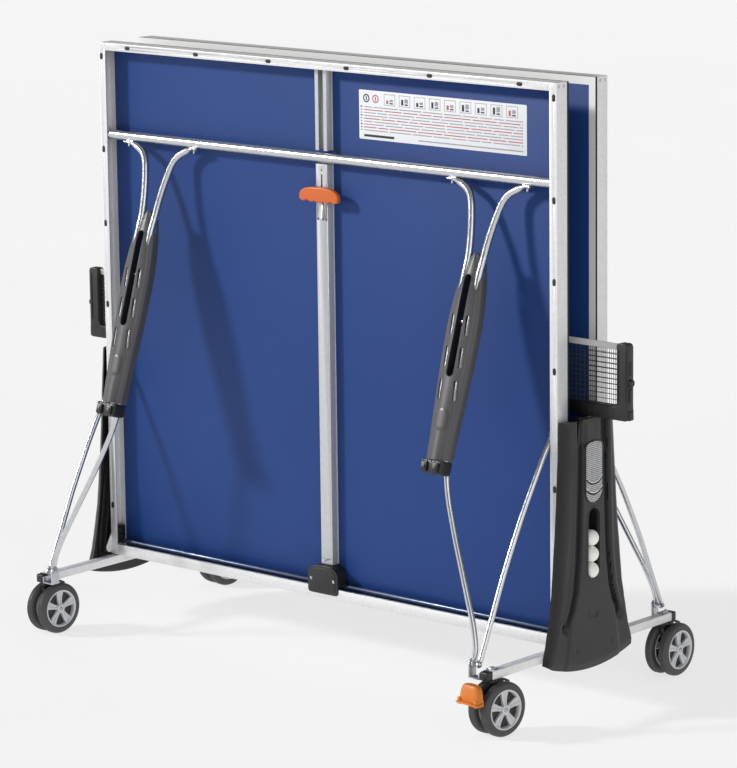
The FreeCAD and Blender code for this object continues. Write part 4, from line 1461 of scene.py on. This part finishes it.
def cover_crescent():
    turns = [math.radians(-66 + 132 * k / 12.0) for k in range(13)]
    return solid_rod([(797.4, 21 * math.sin(a), 250 - 24 * math.cos(a)) for a in turns], 1.2, 8, 2)


def pod_right():
    """The right cover's pieces: name, material and shape."""
    hole = pillow(ball_slot(22.4), [(780, 0), (806, 0)], facing_x)
    lip = ((22.3, 789.0), (22.3, 797.8), (23.5, 798.9), (25.6, 798.6), (26.8, 797.2), (26.8, 794.5))
    wall = ((25.3, 793.5), (25.3, 765.1), (24.0, 765.0), (20.0, 765.0), (19.0, 767.0), (22.9, 767.1),
            (23.0, 793.5))
    # painted shade: the inside of the ball recess is near-black
    cup = ring_of([(x, ball_slot(r)) for r, x in wall])
    cup.join(pillow(ball_slot(20.5), [(765.3, 0), (767.0, 0)], facing_x))
    bolts = Build()
    for y in (-104, 104):
        bolts.join(bolt((788.2, y, 221), (1, 0, 0), 6.0, 5.0))
    return (("cover_skin", "pod", cut_mesh(pod_skin(), [hole])),
            ("cover_ball_rim", "pod", ring_of([(x, ball_slot(r)) for r, x in lip])),
            ("cover_lid", "pod", cover_lid()), ("cover_bolts", "frame_black", bolts),
            ("ball_cup_shade", "pod_dark", cup), ("cover_crescent", "pod", cover_crescent()))


def holder_right():
    """The right racket holder's pieces: name, material and shape."""
    face = POD_X + 3
    turns = [math.pi + math.pi * k / 16 for k in range(17)]
    outline = [(32.5 * math.cos(a), 546 + 32.5 * math.sin(a)) for a in turns]
    outline += [(32.5, 640), (31.0, 655), (26, 661), (0, 666), (-26, 661), (-31.0, 655), (-32.5, 640)]
    pad = pillow(outline, [(face - 1.5, 0), (face + 0.6, 0), (face + 1.6, 1.2), (face + 1.7, 4.0)], facing_x)
    lip = ((-2.6, -1.0), (-2.6, 1.8), (-1.6, 2.6), (-0.2, 2.4), (0.4, 1.0))
    rim = ring_of([(face + out, offset_outline(outline, inset)) for inset, out in lip])
    ribs, grooves = Build(), Build()
    for centre, radius, spread in ((600, 37, 60), (576, 38, 62), (583, 44, 50)):
        arc = []
        for k in range(17):
            a = math.radians(-spread + 2 * spread * k / 16.0)
            if abs(radius * math.sin(a)) < 30.5:
                arc.append((face + 2.2, radius * math.sin(a), centre - radius * math.cos(a)))
        ribs.join(solid_rod(arc, 1.1, 10, 2))
        # painted shade: a near-black band just below each light rib
        grooves.join(solid_rod([(x - 0.6, y, z - 3.4) for x, y, z in arc], 2.2, 10, 2))
    return (("racket_pad", "pad", pad), ("racket_rim", "black", rim), ("racket_ribs", "light_rib", ribs),
            ("racket_groove_shade", "pod_dark", grooves))


def balls_right():
    """Three balls in the right cover's recess, each turned so that its shallow seam shows differently."""
    out = Build()
    profile = []
    for i in range(49):
        a = math.pi * i / 48
        r = BALL_R - 0.15 if i == 24 else BALL_R
        profile.append((max(0.02, r * math.sin(a)), -r * math.cos(a)))
    for k in range(3):
        z = 344.1 + k * 40.2
        tilt = math.radians(35 + 50 * k)
        c, s = math.cos(tilt), math.sin(tilt)
        ball = lathe(profile, 64, (0, 0, 0), "x")
        out.join(ball.mapped(lambda p: Vector((p.x * c - p.z * s + 787.2, p.y, p.x * s + p.z * c + z))))
    return out


def paint_channel_shade(mesh):
    """Writes the groove attribute, the painted shade that the cover's material reads."""
    shade = mesh.attributes.new("groove", "FLOAT", "POINT")
    for vert, value in zip(mesh.vertices, shade.data):
        value.value = painted_channel_shade(vert.co.y / MM, vert.co.z / MM)


def pods():
    parts = pod_right()
    for hand in ("right", "left"):
        for name, mat, b in parts:
            skin = name == "cover_skin"
            nodes = ("pod_cover_" + hand,) if skin else ()
            b = b if hand == "right" else b.flipped(0)
            obj = b.make(name + "_" + hand, mat, "chassis", nodes=nodes, slot="pod_grey", sharp=38,
                         weld=not skin)
            # the skin carries the groove attribute of painted shade
            if skin:
                paint_channel_shade(obj.data)
    for name, mat, b in holder_right():
        nodes = ("racket_holders",) if name == "racket_pad" else ()
        both_ends(b).make(name, mat, "chassis", nodes=nodes, slot="pad_grey", sharp=40)
    both_ends(balls_right()).make("balls", "ball", "chassis", nodes=("practice_balls",), slot="ball_white",
                                  sharp=60)


# ---------------------------------------------------------------- net
POST_SIDE = ((766.8, 731), (768.5, 728.2), (772, 727.2), (900, 727.2), (906.5, 729.5), (909.0, 735),
             (909.0, 752), (908.0, 760), (908.0, 905), (906.6, 911.5), (901, 915.2), (882, 915.4),
             (876, 913.2), (874.0, 908), (874.0, 770), (871.5, 763.5), (866, 760.6), (772, 759.8),
             (768.5, 758.6), (766.8, 755.5))


def post_details():
    """Clamp plate, tongue, tension knob, grips and ribs of the right net post."""
    out = block(786.6, 790.4, -17.8, 17.8, 664.5, 728, 1.2)
    out.join(block(724.2, 768, -2.4, 2.4, 727.3, 759.6, 1.0))
    out.join(block(905, 911.5, -8.5, 8.5, 729, 752, 2.0))
    out.join(block(906.5, 911.0, -6.0, 6.0, 772, 806, 1.8))
    knob = [(0.2, 915.0), (6.5, 915.0), (8.6, 914.0), (9.2, 912.4), (9.2, 909.4), (7.0, 907.5)]
    out.join(lathe(knob, 32, (0, 0, 820), "x"))
    for k in range(6):
        out.join(block(906.5, 910.2, -6.5, 6.5, 838 + k * 6.0, 841.2 + k * 6.0, 0.9))
    pairs = Build()
    for x in (876.0, 898.0):
        pairs.join(block(x, x + 5.5, 11.0, 13.4, 775, 900, 0.8))
    for k in range(10):
        pairs.join(block(870.2, 875.0, 2.4, 4.5, 768 + k * 14.0, 773 + k * 14.0, 0.7))
    return out.join(pairs).join(pairs.flipped(1))


def post_ribs():
    ribs = Build()
    for k in range(5):
        x = 790 + k * 18.0
        ribs.join(block(x, x + 2.4, 11.4, 12.6, 732, 755, 0.6))
    return ribs.join(ribs.flipped(1))


def net_posts():
    post = cut_mesh(pillow(POST_SIDE, rounded_levels(-11.8, 11.8, 2.2, 3)),
                    [block(866, 884.2, -2.2, 2.2, 757, 930, 0.3)])
    for hand in ("right", "left"):
        for name, b in (("body", post), ("details", post_details()), ("ribs", post_ribs())):
            nodes = ("net_post_" + hand,) if name == "body" else ()
            b = b if hand == "right" else b.flipped(0)
            b.make("net_post_%s_%s" % (name, hand), "black", "chassis", nodes=nodes, slot="black_plastic")


def along_net(share):
    return NET_HALF * (2 * share - 1)


def net_grid(z0, z1):
    """The netting itself: one sheet with a slight wave."""
    cols, rows = 144, 12
    verts, faces = [], []
    for r in range(rows + 1):
        for c in range(cols + 1):
            x = along_net(c / cols)
            wave = 0.35 * math.sin(x * 0.019) * math.sin(math.pi * r / rows)
            verts.append((x, wave, z0 + (z1 - z0) * r / rows))
    for r in range(rows):
        for c in range(cols):
            a = r * (cols + 1) + c
            faces.append((a, a + 1, a + cols + 2, a + cols + 1))
    return Build().add(verts, faces)


def net_strands(z0, z1):
    """Cords along the net, the lowest one thicker."""
    strands = Build()
    for k in range(12):
        z = z0 + 2.0 + (z1 - z0 - 2.0) * k / 11.0
        strands.join(solid_rod([(along_net(i / 8.0), 0, z) for i in range(9)], 0.9 if k else 1.4, 8, 3))
    return strands


def net_uprights(z0, z1):
    thin = Build()
    for k in range(141):
        x = along_net(k / 140)
        thin.join(solid_rod([(x, 0, z0 + 0.5), (x, 0, (z0 + z1) / 2), (x, 0, z1)], 0.6, 6, 2))
    return thin


def tape_band(z1):
    """White tape folded over the net's upper edge."""
    profile = ((-0.9, 0), (-1.45, 1.0), (-1.2, 7.5), (-1.45, 14.0), (0, 15.0), (1.45, 14.0), (1.2, 7.5),
               (1.45, 1.0), (0.9, 0))
    return loft([[(along_net(i / 40.0), y, z1 + z) for y, z in profile] for i in range(41)])


def tape_stitches(z1):
    seams = Build()
    for z in (z1 + 2.6, z1 + 12.4):
        for y in (-1.5, 1.5):
            for k in range(175):
                x = 8 - NET_HALF + k * 10.0
                seams.join(solid_rod([(x, y, z), (x + 3.0, y * 1.06, z), (x + 6.0, y, z)], 0.32, 5, 1, 0.3))
    return seams


def net_parts():
    net_posts()
    z0 = PLAY_HEIGHT + 0.5
    z1 = PLAY_HEIGHT + NET_HEIGHT - 15
    net = net_grid(z0, z1).make("net_sheet", "net", "chassis", nodes=("net_mesh",), slot="net_black",
                                sharp=80)
    cords = net_strands(z0, z1).make("net_strands", "strand", "chassis", slot="net_black", sharp=80)
    uprights = net_uprights(z0, z1).make("net_uprights", "strand", "chassis", slot="net_black", sharp=80)
    tape = tape_band(z1).make("net_tape_band", "tape", "chassis", nodes=("net_tape",), slot="tape_white",
                              sharp=50)
    stitches = tape_stitches(z1).make("net_tape_stitches", "tape", "chassis", slot="tape_white", sharp=80,
                                      weld=False)


# ---------------------------------------------------------------- studio
PAPER_GLOW = 0.70
FLOOR_RADIUS = 30.0
FLOOR_CURVE = 8.0
FLOOR_SIDES = 64
FLOOR_GAP = 0.0002
WORLD_STRENGTH = 0.25
# name, strength, angle, direction of the light
SUNS = (("key", 2.3, 7, (0.676, 0.588, -0.44)), ("fill", 0.75, 50, (-0.87, 0.38, -0.30)))
VIEW_AZIMUTH = 41.49
VIEW_HEIGHT = 11.34
VIEW_ROLL = -0.70
VIEW_TARGET = (0.0760, 0.0, 0.7156)
VIEW_DISTANCE = 9.6858
LENS_MM = 179.9015625


def paper_mesh():
    """Flat disc whose far edge curves up, from the middle outwards in rings."""
    rings = [(FLOOR_RADIUS * k / 6.0, 0.0) for k in range(1, 7)]
    for k in range(1, 9):
        a = math.pi / 2 * k / 8.0
        rings.append((FLOOR_RADIUS + FLOOR_CURVE * math.sin(a), FLOOR_CURVE * (1 - math.cos(a))))
    verts, faces = [(0.0, 0.0, -FLOOR_GAP)], []
    for radius, z in rings:
        for k in range(FLOOR_SIDES):
            a = 2 * math.pi * k / FLOOR_SIDES
            verts.append((radius * math.cos(a), radius * math.sin(a), z - FLOOR_GAP))
    for k in range(FLOOR_SIDES):
        after = (k + 1) % FLOOR_SIDES
        faces.append((0, 1 + k, 1 + after))
        for r in range(len(rings) - 1):
            low, high = 1 + r * FLOOR_SIDES, 1 + (r + 1) * FLOOR_SIDES
            faces.append((low + k, high + k, high + after, low + after))
    mesh = bpy.data.meshes.new("studio_floor")
    mesh.from_pydata(verts, [], faces)
    for f in mesh.polygons:
        f.use_smooth = True
    return mesh


def paper_material():
    n = Nodes("studio_paper")
    dim, light = scale_colour(WHITE, 0.28), scale_colour(WHITE, 0.30)
    n.wear("Base Color", n.ramp(n.noise(0.8), [(0.3, dim), (0.7, light)]))
    n.fixed("Roughness", 0.8)
    n.fixed("Specular IOR Level", 0.1)
    n.fixed("Emission Color", WHITE)
    n.fixed("Emission Strength", PAPER_GLOW)
    return n.mat


def studio():
    """Round paper floor that is the background from every side, a pale world and two suns."""
    mesh = paper_mesh()
    floor = link_object("studio_floor", mesh)
    mesh.materials.append(paper_material())
    world = bpy.data.worlds.new("studio_world")
    bpy.context.scene.world = world
    world.use_nodes = True
    sky = world.node_tree.nodes["Background"].inputs
    sky["Color"].default_value = WHITE
    sky["Strength"].default_value = WORLD_STRENGTH
    for name, strength, spread, way in SUNS:
        data = bpy.data.lights.new(name, "SUN")
        data.energy = strength
        data.angle = math.radians(spread)
        lamp = link_object(name, data)
        lamp.rotation_mode = "QUATERNION"
        lamp.rotation_quaternion = Vector(way).to_track_quat("-Z", "Y")


def camera():
    az, el, roll = (math.radians(v) for v in (VIEW_AZIMUTH, VIEW_HEIGHT, VIEW_ROLL))
    back = Vector((math.sin(az) * math.cos(el), -math.cos(az) * math.cos(el), math.sin(el)))
    right = (-back).cross(Vector((0, 0, 1))).normalized()
    up = right.cross(-back)
    r = right * math.cos(roll) + up * math.sin(roll)
    u = right * -math.sin(roll) + up * math.cos(roll)
    data = bpy.data.cameras.new("camera")
    cam = link_object("camera", data)
    at = Vector(VIEW_TARGET) + back * VIEW_DISTANCE
    cam.matrix_world = Matrix(((r.x, u.x, back.x, at.x), (r.y, u.y, back.y, at.y), (r.z, u.z, back.z, at.z),
                               (0, 0, 0, 1)))
    data.sensor_width = 36.0
    data.lens = LENS_MM
    data.clip_end = 100.0
    bpy.context.scene.camera = cam


bpy.context.scene.view_settings.view_transform = "Standard"
camera()
studio()
make_materials()
dress_cad()
frame_details()
lock_parts()
info_panel()
handles()
leg_tubes()
leg_shells()
leg_feet()
linkage()
base_parts()
casters()
pods()
net_parts()
